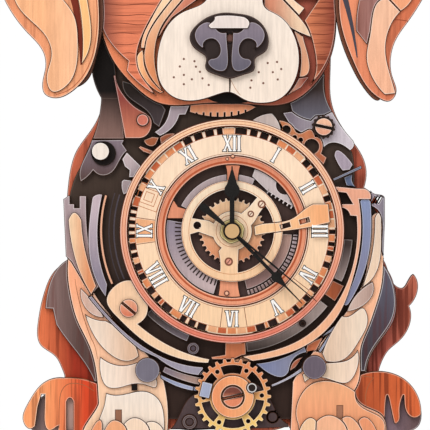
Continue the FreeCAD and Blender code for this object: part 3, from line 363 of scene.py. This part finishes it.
looks = {
    "back_plate": [paint("#D06C4E", "#B45A44", "X", -86, 80, streak=0.5)],
    "tail_plate": [paint("#AC5648", "#B8644E", "X", 84, 98, highlightShare=0.25, streak=0.75)],
    "chest_panel": [paint("#362620", "#45372F", "Z", -75, 43, highlightShare=0.12)],
    "haunches": [paint("#E0744A", "#A43420", "X", -104, -87, streak=0.5),
                 paint("#745242", "#B4787C", "Z", -60, -50, streak=0.4)],
    "hind_inserts": [paint("#766260", "#D8B0A4", "X", -106, -89), paint("#88707A", "#695254", "X", 87, 100),
                     paint("#846A66", "#5A4440", "X", -98, -84, streak=0.35),
                     paint("#453C42", "#5C5967", "Z", -66, -32, highlightShare=0.55, streak=0.3)],
    "hind_feet": [paint("#FFA46C", "#DA4A28", "X", -104, -81, streak=0.45),
                  paint("#BE5831", "#D9683A", "X", 76, 97, streak=0.6)],
    "front_legs": [paint("#FFD4B0", "#FCB088", "Z", -95, -30), paint("#FFB48C", "#FFC49E", "Z", -91, -20)],
    "leg_panels": [paint("#D4AE9C", "#D9BAAC", "X", -82, -74), paint("#F1DAC6", "#E4BD9F", "X", -72, -56),
                   paint("#F5E2D1", "#EDD0BB", "X", -69, -50), paint("#F6E3D1", "#F5E6D8", "Z", -101, -88),
                   paint("#EDCFB4", "#E9D0B9", "Z", -22, 2), paint("#CFB4A8", "#BA9C90", "X", 66, 76),
                   paint("#E6C8AF", "#F0DAC4", "X", 55, 70), paint("#EBD0B5", "#F4DAC4", "X", 50, 66),
                   paint("#F4A67A", "#F1AD80", "Z", -101, -86)],
    "front_toes": [paint("#F3AC7F"), paint("#F7DAC0"), paint("#F6DEC6"), paint("#EF9B6E"), paint("#F7CBA2"),
                   paint("#F8BA94"), paint("#F5B289"), paint("#EF9C72")],
    "knee_caps": [paint("#76717E", highlightShare=0.25), paint("#6A5F6B", highlightShare=0.25)],
    "outer_bezel": [paint("#E4806A", "#F8CCA4", "Z", -55, 58, ink="#8A4A34")],
    "dial_backing": [paint("#5A4440", "#463530", "Z", -20, 20, highlightShare=0.1)],
    "chapter_ring": [paint("#FBD4AC", "#FCE0C4", "Z", -42, 43, ink="#B06A48")],
    "inner_bezel": [paint("#EFA07C", "#DC8C6C", "Z", -35, 35, highlightShare=0.3)],
    # The sixth dial solid, the darker ring, is a painted shadow.
    "dial_sectors": [paint("#CDBFBE"), paint("#CCB6B6", "#988C99", "Z", -30, 0), paint("#BCA9AB"),
                     paint("#BEADAF"), paint("#BEB0B8", "#A68A86", "Z", 14, -30),
                     paint("#A4827E", "#BC988C", "Z", -28, -4)],
    "centre_gear": [paint("#E0946A", "#F6CAA0", "Z", -14, 14)],
    "skeleton_ring": [paint("#F7CDA3", "#F7DFC2", "Z", -21, 18)],
    "dial_arm": [paint("#FACD9D", "#F6B07C", "X", 20, 48)],
    "side_plates": [paint("#AA8E8C", "#AE9A9E", "Z", -11, 15, highlightShare=0.35),
                    paint("#9D8F9C", "#817B87", "X", 79, 84), paint("#F3CCA6", "#E09468", "X", -88, -79),
                    paint("#8F8594", "#C6B3BB", "Z", -24, 14), paint("#E5A27C", highlightShare=0.2),
                    paint("#8A7B84", "#B6978B", "X", -33, -22)],
    "blue_strips": [paint("#8486A2", "#8A96BA", "Z", -16, 14), paint("#A09AAA", "#8E8494", "Z", -75, -48),
                    paint("#A2A8C4", "#8E96B4", "Z", -86, -82), paint("#7D84A6", "#8889A0", "X", 18, 32),
                    paint("#A7A6B8"), paint("#9296B0"), paint("#8B92AE")],
    "bezel_arms": [paint("#F8CDA8", "#F5D2AE", "X", -64, -32), paint("#F3B790", "#EAA98C", "Z", -62, 18)],
    "copper_links": [paint("#EC8C60"), paint("#E47C50", "#B86444", "X", 53, 60), paint("#D87C55"),
                     paint("#B5674B"), paint("#A9603E"), paint("#CB7C5C"), paint("#AA6244"),
                     paint("#D4875C", "#C47250", "X", 33, 50)],
    "light_inlays": [paint("#80747C", "#5A4E4C", "Z", -57, -49), paint("#463A36", "#CAB6B0", "Z", -66, -46),
                     paint("#BCA6A2", "#524442", "Z", -26, -8), paint("#5B4644", "#8A7A84", "Z", 30, 50),
                     paint("#AD9DA4", highlightShare=0.6), paint("#B4A4A8", "#CBB8BA", "Z", 30, 42, highlightShare=0.6),
                     paint("#B6A4A6", highlightShare=0.6), paint("#E5D2CA"), paint("#AB9DAB"), paint("#4F566E"),
                     paint("#6A7694")],
    "shoulder_plates": [paint("#86675F", "#120C0A", "Z", 54, 77, highlightShare=0.2),
                        paint("#453A3C", "#261D19", "Z", 62, 76, highlightShare=0.3),
                        paint("#CC7A5F", "#8E453C", "Z", 53, 72), paint("#6B6874", "#3D302D", "Z", 62, 78),
                        paint("#8A7E8A", "#D2C8D0", "X", 34, 64, highlightShare=0.55)],
    "collar_ruler": [paint("#FFB286", "#E88C66", "Z", 65, 70)],
    "slotted_bolts": [paint("#D87A5C", "#E8A888", "Z", -46, -38), paint("#CB7360", ink="#1E1512", line=0.6),
                      paint("#EFE2D6", ink="#0E0A09", deep=printedPly("#17110F")), paint("#281D1A", highlightShare=0.1),
                      paint("#F0BC9C", "#E3A184", "Z", 60, 54, ink="#241C18", deep=printedPly("#1D1614")),
                      paint("#5C4E56", highlightShare=0.3), paint("#2A2220", highlightShare=0.1)],
    "gear_backplate": [paint("#4C3C3C", "#554648", "Z", -108, -92, highlightShare=0.25)],
    "drive_gear": [paint("#F4CC7C", "#E08C5C", "Z", -106, -80)],
    "gear_hub": [paint("#A6AEC8"), paint("#2A201C", highlightShare=0.8, rimWidth=0.6),
                 paint("#F09A6A", "#F5AC78", "X", -8, 8)],
    "gear_pin": [paint("#E58C68", "#7A4438", "Z", -93, -88.5, ink="#2A1812")],
    "head_plate": [paint("#EC8A60", "#A85644", "X", -55, 40, highlightShare=0.2)],
    # The left cheek darkens towards its left edge, under the ear: painted shadow of the ear.
    "cheek_plates": [paint("#5E3232", "#E5825F", "X", -73, -59, streak=0.35, level=True),
                     paint("#D57E58", "#984B38", "X", 43, 55, streak=0.6, level=True),
                     paint("#B9583E", "#DE8A62", "X", -60, -20, streak=0.45, level=True),
                     paint("#DE8A62", "#B9583E", "X", 18, 50, streak=0.45, level=True)],
    "face_strips": [paint("#FCC096", "#F8D4AC", "X", -47, -38), paint("#FDC08C", "#D97C4C", "X", -51, -43),
                    paint("#E89666", "#F0BE98", "Z", 90, 120), paint("#E29474", "#CF8068", "X", -34, -24),
                    paint("#DC9274", "#F0CEAE", "X", 22, 36), paint("#FAD7B6"),
                    paint("#E6A580", "#DDA686", "Z", 88, 106), paint("#E0A088", "#8A4536", "X", 34, 39.5)],
    "muzzle": [paint("#F6E5D5", "#F7E8DA", "Z", 78, 118)],
    "eyes": [paint("#1C1411", highlightShare=0.15)],
    "nose_base": [paint("#342927", highlightShare=0.12)],
    # The third nose solid, in pale #E9DBD4, is a painted highlight on the nose.
    "nose_plates": [paint("#686370", "#857A86", "Z", 90, 110, highlightShare=0.35, rimWidth=0.28),
                    paint("#686370", "#857A86", "Z", 90, 110, highlightShare=0.35, rimWidth=0.28), paint("#E9DBD4")],
    "ear_backings": [paint("#6E4434", highlightShare=0.1), paint("#7A4834", highlightShare=0.1)],
    "ears": [paint("#F09C70", "#F4AA7C", "X", -113, -78, streak=0.25),
             paint("#EC926C", "#D87652", "X", 66, 94, streak=0.3)],
    "ear_panels": [paint("#FBBA8A", "#FAC096", "X", -104, -88, streak=0.12), paint("#FCC283"),
                   paint("#F8BB98", "#F8C3A2", "Z", 85, 118, streak=0.12),
                   paint("#96645A", "#A87870", "X", 69, 76, streak=0.3), paint("#F3A67C")],
}
fineLines = {"dial_sectors": 0.22, "centre_gear": 0.22, "skeleton_ring": 0.24, "collar_ruler": 0.2,
             "drive_gear": 0.24, "slotted_bolts": 0.3, "blue_strips": 0.26, "face_strips": 0.26}
for node, paints in looks.items():
    width = fineLines.get(node, 0.32)
    dressed(node, paints, line=width, rim=width + 0.06)
print("printed plates dressed:", len(looks))



def onDial(radius, clockwise, centre=(0.0, 0.0)):  # a point at so many degrees past twelve
    turn = math.radians(clockwise)
    return centre[0] + radius * math.sin(turn), centre[1] + radius * math.cos(turn)


def sector(inner, outer, start=0.0, end=360.0, centre=(0.0, 0.0), step=4.0):
    count = max(1, math.ceil((end - start) / step))
    turns = [start + (end - start) * index / count for index in range(count + 1)]
    return [[onDial(inner, a, centre), onDial(outer, a, centre), onDial(outer, b, centre),
             onDial(inner, b, centre)] for a, b in zip(turns, turns[1:])]


def disc(centre, radius):
    return sector(0.0, radius, centre=centre, step=30.0)


def ribbon(points, *widths, pieces=6):  # quads along a smooth line, the widths shared out from end to end
    padded = [points[0], *points, points[-1]]
    curve = []
    for a, b, c, d in zip(padded, padded[1:], padded[2:], padded[3:]):
        for t in (step / pieces for step in range(pieces)):
            curve.append([0.5 * (2 * b[i] + (c[i] - a[i]) * t + (2 * a[i] - 5 * b[i] + 4 * c[i] - d[i]) * t * t
                                 + (3 * b[i] - a[i] - 3 * c[i] + d[i]) * t ** 3) for i in (0, 1)])
    curve.append(points[-1])
    left, right = [], []
    for index, (x, z) in enumerate(curve):
        before, after = curve[max(index - 1, 0)], curve[min(index + 1, len(curve) - 1)]
        run = Vector((after[0] - before[0], after[1] - before[1])).normalized()
        place = index / (len(curve) - 1) * (len(widths) - 1)
        low = min(int(place), max(len(widths) - 2, 0))
        half = (widths[low] + (widths[min(low + 1, len(widths) - 1)] - widths[low]) * (place - low)) / 2
        left.append((x - run.y * half, z + run.x * half))
        right.append((x + run.y * half, z - run.x * half))
    return [[left[i], right[i], right[i + 1], left[i + 1]] for i in range(len(curve) - 1)]


markSheet = {"proud": 0.06, "thick": 0.1}


def marks(name, node, surface, shapes):  # thin marks on the face that stands at y = surface
    bm = bmesh.new()
    materials = []
    for polygons, material in shapes:
        if material not in materials:
            materials.append(material)
        verts, faces = {}, []
        for polygon in polygons:
            corners = []
            for x, z in polygon:
                spot = (round(x, 4), round(z, 4))
                if spot not in verts:
                    verts[spot] = bm.verts.new((x * mm, (surface - markSheet["proud"]) * mm, z * mm))
                if verts[spot] not in corners:
                    corners.append(verts[spot])
            if len(corners) > 2:
                faces.append(bm.faces.new(corners))
        for edge in [edge for face in faces for edge in face.edges if edge.is_boundary]:
            a, b = edge.verts
            behind = [bm.verts.new(vert.co + Vector((0.0, markSheet["thick"] * mm, 0.0))) for vert in (b, a)]
            faces.append(bm.faces.new((a, b, *behind)))
        for face in faces:
            face.material_index = materials.index(material)
    mesh = bpy.data.meshes.new(name)
    bm.normal_update()
    bm.to_mesh(mesh)
    bm.free()
    for material in materials:
        mesh.materials.append(material)
    piece = bpy.data.objects.new(name, mesh)
    bpy.context.scene.collection.objects.link(piece)
    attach(piece, bodyOfNode[node])


def flat(low, high=None, axis="Z", start=0.0, end=1.0):
    return printedPly(low, high, axis, start, end)


face = {
    "front": -36.0,
    "philtrum": [(-1.2, 83.6), (-1.2, 80.0), (-1.3, 76.0)],
    "crease": [(-0.6, 82.6), (1.8, 78.0), (4.6, 74.3)],
    "dots": [(-26.4, 94.2), (-20.6, 93.0), (-28.6, 90.1), (-19.8, 90.0), (-17.6, 87.2), (-26.4, 85.5),
             (-31.9, 84.2), (-22.0, 83.1), (-16.2, 83.6), (-26.4, 80.4), (-12.8, 80.0), (19.5, 92.0),
             (24.6, 92.6), (26.9, 88.7), (22.3, 87.0), (14.6, 87.0), (25.0, 83.0), (17.1, 81.0), (10.6, 82.5),
             (10.0, 78.5)],
    "dotRadius": 0.62,
}
freckle = flat("#7A5648")
marks("muzzle_marks", "muzzle", face["front"],
      [(ribbon(face["philtrum"], 1.1, 0.9, 0.6), outlineInk("#2A1A15")),
       (ribbon(face["crease"], 0.3, 0.4, 0.3), outlineInk("#C9A58C"))]
      + [(disc(spot, face["dotRadius"]), freckle) for spot in face["dots"]])

mouth = {"front": -30.0, "roof": 76.5,
         "lip": [(-14.0, 73.0), (-10.0, 71.2), (-5.0, 70.2), (-1.0, 70.0), (4.0, 70.1), (8.0, 70.8),
                 (12.0, 72.6)]}
marks("mouth_opening", "head_plate", mouth["front"],
      [([[a, b, (b[0], mouth["roof"]), (a[0], mouth["roof"])] for a, b in zip(mouth["lip"], mouth["lip"][1:])],
        flat("#15100E"))])

nosePeg = {"front": -39.0, "centre": (-1.2, 105.4), "socket": 3.2, "peg": 2.1}
marks("nose_socket", "nose_base", nosePeg["front"],
      [(disc(nosePeg["centre"], nosePeg["socket"]), flat("#17110F"))])
marks("nose_peg", "nose_base", nosePeg["front"] - 0.2,
      [(disc(nosePeg["centre"], nosePeg["peg"]), flat("#6B4A42")),
       (sector(nosePeg["peg"] - 0.35, nosePeg["peg"], centre=nosePeg["centre"]), outlineInk("#C08A70"))])

planks = {
    "front": -33.0,
    "lines": [[(-69.6, 119.0), (-60.0, 118.2), (-50.0, 118.8), (-43.6, 118.0)],
              [(-70.2, 113.6), (-62.0, 114.2), (-52.0, 113.2), (-46.6, 113.6)],
              [(-68.8, 108.0), (-60.0, 108.8), (-51.6, 108.0)],
              [(-65.0, 102.6), (-58.0, 102.2), (-52.0, 103.0)],
              [(-60.6, 97.4), (-56.0, 97.8), (-53.0, 97.2)], [(-56.0, 91.4), (-52.6, 91.2)],
              [(-71.0, 125.0), (-60.0, 124.0), (-48.0, 124.6), (-40.6, 123.8)],
              [(-70.6, 132.0), (-58.0, 131.0), (-42.0, 131.6)],
              [(41.2, 113.6), (48.0, 114.0), (56.4, 113.2)], [(42.8, 108.4), (50.0, 107.8), (55.4, 108.4)],
              [(44.4, 102.8), (50.0, 103.2), (54.6, 102.6)], [(45.4, 97.2), (50.0, 97.0), (53.4, 97.4)],
              [(45.4, 91.0), (50.0, 91.4)], [(43.0, 119.4), (50.0, 119.0), (56.4, 119.8)],
              [(46.6, 125.2), (52.0, 125.6), (56.2, 125.0)]],
    "widths": (0.1, 0.34, 0.34, 0.1),
}
marks("cheek_planks", "cheek_plates", planks["front"],
      [(ribbon(line, *planks["widths"]), outlineInk("#6A2A1C")) for line in planks["lines"]])
print("face details added")


earLines = {
    "front": -36.0,
    "leftStripe": [(-101.0, 161.0), (-94.0, 146.0), (-86.5, 127.0), (-83.0, 104.0), (-82.6, 91.0)],
    "leftBorder": [(-84.0, 150.0), (-77.0, 138.0), (-74.3, 127.0), (-74.0, 112.0), (-76.2, 97.0), (-81.3, 85.5),
                   (-88.6, 77.8), (-96.4, 74.6)],
    "rightStripe": [(52.0, 150.0), (58.6, 136.0), (62.0, 127.0), (66.0, 110.0), (68.5, 95.0)],
    "rightSeam": [(88.8, 115.6), (92.0, 115.6), (96.4, 114.9)],
}
marks("ear_lines", "ears", earLines["front"],
      [(ribbon(earLines["leftStripe"], 0.6, 3.0, 4.0, 2.4, 0.8), flat("#7A2E1E")),
       (ribbon(earLines["leftBorder"], 0.2, 0.4, 0.4, 0.3), outlineInk("#A2563A")),
       (ribbon(earLines["rightStripe"], 0.4, 2.4, 3.0, 1.8, 0.5), flat("#4A4650")),
       (ribbon(earLines["rightSeam"], 0.36), outlineInk("#8C3F2A"))])

legLines = {
    "front": -27.0,
    "long": [(-86.5, -26.6), (-85.4, -33.4), (-82.4, -45.5), (-78.6, -56.8), (-75.6, -63.6), (-74.1, -70.4)],
    "leftLobe": [(-75.6, -88.5), (-82.4, -84.7), (-89.9, -84.3), (-94.0, -88.5), (-95.2, -96.8),
                 (-95.2, -108.8)],
    "leftTop": [(-92.2, -80.9), (-85.0, -81.4), (-79.3, -82.4), (-75.6, -86.2)],
    "rightLobe": [(78.1, -80.9), (75.1, -85.5), (73.6, -91.5), (74.3, -97.5)],
    "rightTop": [(70.6, -80.2), (74.0, -80.2), (78.1, -80.9)],
}
marks("leg_lines", "front_legs", legLines["front"],
      [(ribbon(legLines[key], 0.2, 0.4, 0.4, 0.2), outlineInk("#A0603F"))
       for key in ("long", "leftLobe", "leftTop", "rightLobe", "rightTop")])

legPegs = {"front": -28.5, "border": 0.3, "rise": 0.1,
           "tops": [(-53.7, -84.4, 3.2, 2.8, "#120D0B"), (-62.5, -98.6, 7.1, 3.2, "#9A6A52"),
                    (59.4, -96.2, 6.8, 3.1, "#A8745A")]}
for number, (x, top, length, width, colour) in enumerate(legPegs["tops"]):
    marks(f"leg_peg_{number}", "leg_panels", legPegs["front"],
          [(ribbon([(x, top + legPegs["border"]), (x, top - length - legPegs["border"])],
                  width + 2 * legPegs["border"], pieces=1), outlineInk("#4A2A1E"))])
    marks(f"leg_peg_face_{number}", "leg_panels", legPegs["front"] - legPegs["rise"],
          [(ribbon([(x, top), (x, top - length)], width, pieces=1), flat(colour))])
print("ear and leg details added")


track = {"front": -30.0, "inner": 53.6, "outer": 56.5, "margin": 0.55, "pitch": 5.4,
         "colours": ("#E58F5E", "#C9663F", "#F0B084")}
cornerTurns = sorted({round(math.degrees(math.atan2(v.co.x, v.co.z)) % 360, 1)
                      for v in nodes["chapter_ring"].data.vertices
                      if v.co.y < -29.9 * mm and 53.3 * mm < v.co.xz.length < 53.62 * mm})
blocks = []
for start, end in zip(cornerTurns[1::2], cornerTurns[2::2] + [cornerTurns[0] + 360]):
    start, end = start + track["margin"], end - track["margin"]
    if end - start < 1.0:
        continue
    count = max(1, round((end - start) / track["pitch"]))
    share = (end - start) / count
    for index in range(count):
        low = start + share * index
        blocks.append((sector(track["inner"], track["outer"], low, low + share - (0.9 if count > 1 else 0.0)),
                       flat(track["colours"][len(blocks) % 3])))
numeralInk = {"spread": 0.72, "ink": outlineInk("#4A4A5A")}
numeralEdges = []
for polygon in (face for face in nodes["hour_numerals"].data.polygons if face.normal.y < -0.99):
    spots = [nodes["hour_numerals"].data.vertices[i].co.xz / mm for i in polygon.vertices]
    for a, b in zip(spots, spots[1:] + spots[:1]):
        if (b - a).length > 0.05:
            reach = (b - a).normalized() * (numeralInk["spread"] / 2)
            numeralEdges.append((ribbon([tuple(a - reach), tuple(b + reach)], numeralInk["spread"], pieces=1),
                                 numeralInk["ink"]))
marks("numeral_outlines", "chapter_ring", track["front"] - 0.04, numeralEdges)
nodes["hour_numerals"].data.materials.clear()
nodes["hour_numerals"].data.materials.append(flat("#FFFDFA"))
print("numerals outlined:", len(numeralEdges))

marks("minute_blocks", "chapter_ring", track["front"], blocks)
divisions = {"outerLine": (53.25, 53.5), "innerLine": (42.5, 42.75), "orangePanel": (42.8, 53.0, 262.6, 277.4),
             "reach": (42.6, 53.2), "width": 0.36, "turns": (127.6, 171.0, 187.0, 262.0, 278.0)}
marks("block_outlines", "chapter_ring", track["front"] + 0.03,
      [(sector(*divisions["outerLine"]), outlineInk("#B06A48")),
       (sector(*divisions["innerLine"]), outlineInk("#9A5A40")),
       (sector(*divisions["orangePanel"]), flat("#F1B284"))]
      + [(ribbon([onDial(radius, turn) for radius in divisions["reach"]], divisions["width"], pieces=1),
          outlineInk("#7E4632")) for turn in divisions["turns"]])

bezelLines = {"front": -32.2, "turned": (58.6, 60.3), "width": 0.24}
marks("bezel_lines", "outer_bezel", bezelLines["front"],
      [(sector(radius, radius + bezelLines["width"]), outlineInk("#A8553A"))
       for radius in bezelLines["turned"]])

moulding = {"front": -30.8, "band": (37.6, 38.6), "line": 40.4}
marks("moulding_lines", "inner_bezel", moulding["front"],
      [(sector(*moulding["band"]), flat("#B85A38")),
       (sector(moulding["line"], moulding["line"] + 0.25), outlineInk("#A24E34"))])

skeletonMarks = {"front": -32.0, "rings": (23.6, 27.3), "ringWidth": 0.24, "hub": (8.6, 8.85), "core": 0.62,
                 "slotReach": 0.55, "slotTurns": (40.0, 220.0), "slotWidth": 0.4,
                 "headRise": 0.12, "slotRise": 0.22,
                 "screws": ((16.3, 14.7, 2.2, "#F6DCC4"), (10.3, 9.4, 1.8, "#F6DCC4"),
                            (-1.8, -16.8, 2.3, "#E8A08A"))}
marks("skeleton_lines", "skeleton_ring", skeletonMarks["front"],
      [(sector(radius, radius + skeletonMarks["ringWidth"]), outlineInk("#C07848"))
       for radius in skeletonMarks["rings"]]
      + [(sector(*skeletonMarks["hub"]), outlineInk("#B06A48"))])
for number, (x, z, radius, colour) in enumerate(skeletonMarks["screws"]):
    core, reach = radius * skeletonMarks["core"], radius * skeletonMarks["slotReach"]
    marks(f"skeleton_screw_{number}", "skeleton_ring", skeletonMarks["front"] - skeletonMarks["headRise"],
          [(sector(core, radius, centre=(x, z)), outlineInk("#7A4A38")), (disc((x, z), core), flat(colour))])
    marks(f"screw_slot_{number}", "skeleton_ring", skeletonMarks["front"] - skeletonMarks["slotRise"],
          [(ribbon([onDial(reach, turn, (x, z)) for turn in skeletonMarks["slotTurns"]],
                   skeletonMarks["slotWidth"], pieces=1), outlineInk("#5A3428"))])

ticks = {"front": -28.8, "left": (28.2, 31.5, 198, 278, 4.2), "right": (33.7, 36.1, 95, 165, 3.6), "width": 0.8}
for side in ("left", "right"):
    inner, outer, first, last, pitch = ticks[side]
    turns = [first + pitch * index for index in range(int((last - first) / pitch) + 1)]
    marks(f"dial_ticks_{side}", "dial_sectors", ticks["front"],
          [(ribbon([onDial(inner, turn), onDial(outer, turn)], ticks["width"], pieces=1), outlineInk("#241C20"))
           for turn in turns])

squareBoss = {"front": -30.0, "centre": (-45.6, 18.7), "halves": (6.3, 4.0, 2.2), "tilt": 20.0}
marks("square_boss", "chapter_ring", squareBoss["front"] + 0.02,
      [(sector(half * 1.414, half * 1.414 + 0.45, squareBoss["tilt"] - 45, squareBoss["tilt"] + 315,
               squareBoss["centre"], step=90.0), outlineInk("#B5683E")) for half in squareBoss["halves"]])

cradle = {"front": -30.8, "pins": ((-2.6, 39.6, 1.0), (0.4, 41.0, 1.3), (-2.9, -34.2, 1.5))}
marks("cradle_pins", "inner_bezel", cradle["front"],
      [(shape, material) for x, z, radius in cradle["pins"]
       for shape, material in ((disc((x, z), radius * 0.6), flat("#F0B898")),
                               (sector(radius * 0.65, radius, centre=(x, z)), outlineInk("#5A3430")))])

neckSeam = {"front": -27.0, "width": 0.34, "line": [(-72.2, 73.2), (-66.0, 73.0), (-60.4, 73.2)]}
marks("neck_seam", "shoulder_plates", neckSeam["front"],
      [(ribbon(neckSeam["line"], neckSeam["width"]), outlineInk("#4A403C"))])

# The two slate arcs on the dark band left of the dial are painted highlights.
bandHighlightArcs = {"front": -24.0, "arcs": ((65.2, 0.8, "#4E4A55"), (68.0, 0.6, "#3E3A42"))}
marks("left_band_highlight_arcs", "blue_strips", bandHighlightArcs["front"],
      [(sector(radius - width / 2, radius + width / 2, 246, 288), outlineInk(colour))
       for radius, width, colour in bandHighlightArcs["arcs"]])
print("dial details added")


def plainFinish(name, colour, roughness, metallic=0.0, speck=0.1, scale=1500.0, bump=0.1):
    finish = Finish(name, roughness, metallic)
    grain = finish.noise(finish.place, scale, 3.0)
    finish.set("Base Color", finish.mix(grain * speck, colourOf(colour), blended(colour, "#FFFFFF", 0.5)))
    finish.set("Roughness", (roughness - 0.06) + grain * 0.12)
    finish.bump(grain, bump, 0.0001)
    return finish.material


blackEnamel = plainFinish("blackEnamel", "#0C0907", 0.5, 0.0, 0.03)
turnedBrass = plainFinish("turnedBrass", "#E6BC84", 0.3, 0.75)
bareMetals = {
    "movement_case": plainFinish("casePlastic", "#1D1D1F", 0.5, 0.0, 0.12, 2500.0, 0.25),
    "movement_back_cover": plainFinish("coverPlastic", "#232326", 0.5, 0.0, 0.12, 2500.0, 0.25),
    "setting_knob": plainFinish("knobPlastic", "#E2DED2", 0.4),
    "battery": plainFinish("cellJacket", "#2F5D7C", 0.35, 0.3),
    "battery_contacts": plainFinish("contactSteel", "#C8C8C8", 0.3, 1.0),
    "circuit_board": plainFinish("boardGreen", "#2E6B3F", 0.45),
    "drive_coil": plainFinish("coilCopper", "#B3602E", 0.4, 0.6),
    "train_plates": plainFinish("acetal", "#E9E6DC", 0.45),
    "motion_work_wheel": plainFinish("acetalWheel", "#EFEBDD", 0.45),
    "hour_arbor": plainFinish("acetalArbor", "#EFEBDD", 0.45),
    "minute_arbor": turnedBrass, "threaded_bushing": turnedBrass, "centre_cap": turnedBrass,
    "second_arbor": plainFinish("arborSteel", "#C0C0C0", 0.3, 1.0),
    "hour_hand": blackEnamel, "minute_hand": blackEnamel, "second_hand": blackEnamel,
    "rear_spacers": rearFinish,
}
agedBrass = plainFinish("agedBrass", "#B9A062", 0.4, 0.4)
# The pale brass band along the nut's edges is a painted highlight.
brassHighlight = plainFinish("brassHighlight", "#E6DA9C", 0.35, 0.3)
dressed("bushing_nut", [{"face": agedBrass, "rim": brassHighlight, "ink": "#4E4218"}], line=0.34, rim=0.4)
for node, material in bareMetals.items():
    nodes[node].data.materials.clear()
    nodes[node].data.materials.append(material)
print("movement and hands finished")


view = {"distance": 1.3, "width": 0.2365, "centreX": -0.00935, "centreZ": 0.0088, "sensor": 36.0,
        "plane": -0.03}


def makeCamera():
    data = bpy.data.cameras.new("viewCamera")
    data.sensor_width = view["sensor"]
    data.lens = view["sensor"] * view["distance"] / view["width"]
    camera = bpy.data.objects.new("viewCamera", data)
    camera.location = (view["centreX"], view["plane"] - view["distance"], view["centreZ"])
    camera.rotation_euler = (math.pi / 2, 0.0, 0.0)
    bpy.context.scene.collection.objects.link(camera)
    bpy.context.scene.camera = camera


studio = {"worldStrength": 0.66, "worldTint": (1.0, 0.975, 0.955, 1.0), "keyPower": 9.2, "fillPower": 2.0,
          "floorDrop": 0.05, "floorHalf": 0.45,
          "backdropY": 3.0, "backdropHalf": 3.0}


def areaLight(name, place, size, power):
    data = bpy.data.lights.new(name, "AREA")
    data.size, data.energy = size, power
    lamp = bpy.data.objects.new(name, data)
    lamp.location = place
    lamp.rotation_mode = "QUATERNION"
    lamp.rotation_quaternion = (Vector((0.0, 0.0, 0.03)) - Vector(place)).to_track_quat("-Z", "Y")
    bpy.context.scene.collection.objects.link(lamp)


def sheetOf(name, corners, material):
    mesh = bpy.data.meshes.new(name)
    mesh.from_pydata(corners, [], [(0, 1, 2, 3)])
    mesh.materials.append(material)
    sheet = bpy.data.objects.new(name, mesh)
    bpy.context.scene.collection.objects.link(sheet)


def makeStudio():
    world = bpy.data.worlds.new("paleStudio")
    world.use_nodes = True
    world.node_tree.nodes["Background"].inputs["Color"].default_value = studio["worldTint"]
    world.node_tree.nodes["Background"].inputs["Strength"].default_value = studio["worldStrength"]
    bpy.context.scene.world = world
    bpy.context.scene.view_settings.view_transform = "Standard"
    areaLight("keyLight", (-0.5, -1.0, 0.9), 0.7, studio["keyPower"])
    areaLight("fillLight", (0.9, -1.0, 0.1), 0.9, studio["fillPower"])
    pale = Finish("paleFloor", 0.9)
    pale.set("Base Color", (0.85, 0.85, 0.85, 1.0))
    low, half = cadBox[0][2] - studio["floorDrop"], studio["floorHalf"]
    sheetOf("floor", [(-half, -half, low), (half, -half, low), (half, half, low), (-half, half, low)],
            pale.material)
    glow = Finish("backdropGlow", 0.9)
    glow.set("Emission Color", (1.0, 1.0, 1.0, 1.0))
    glow.set("Emission Strength", 1.0)
    glow.set("Base Color", (0.0, 0.0, 0.0, 1.0))
    far, wide = studio["backdropY"], studio["backdropHalf"]
    sheetOf("backdrop", [(-wide, far, -wide), (wide, far, -wide), (wide, far, wide), (-wide, far, wide)],
            glow.material)


makeCamera()
makeStudio()
print("camera and studio made")
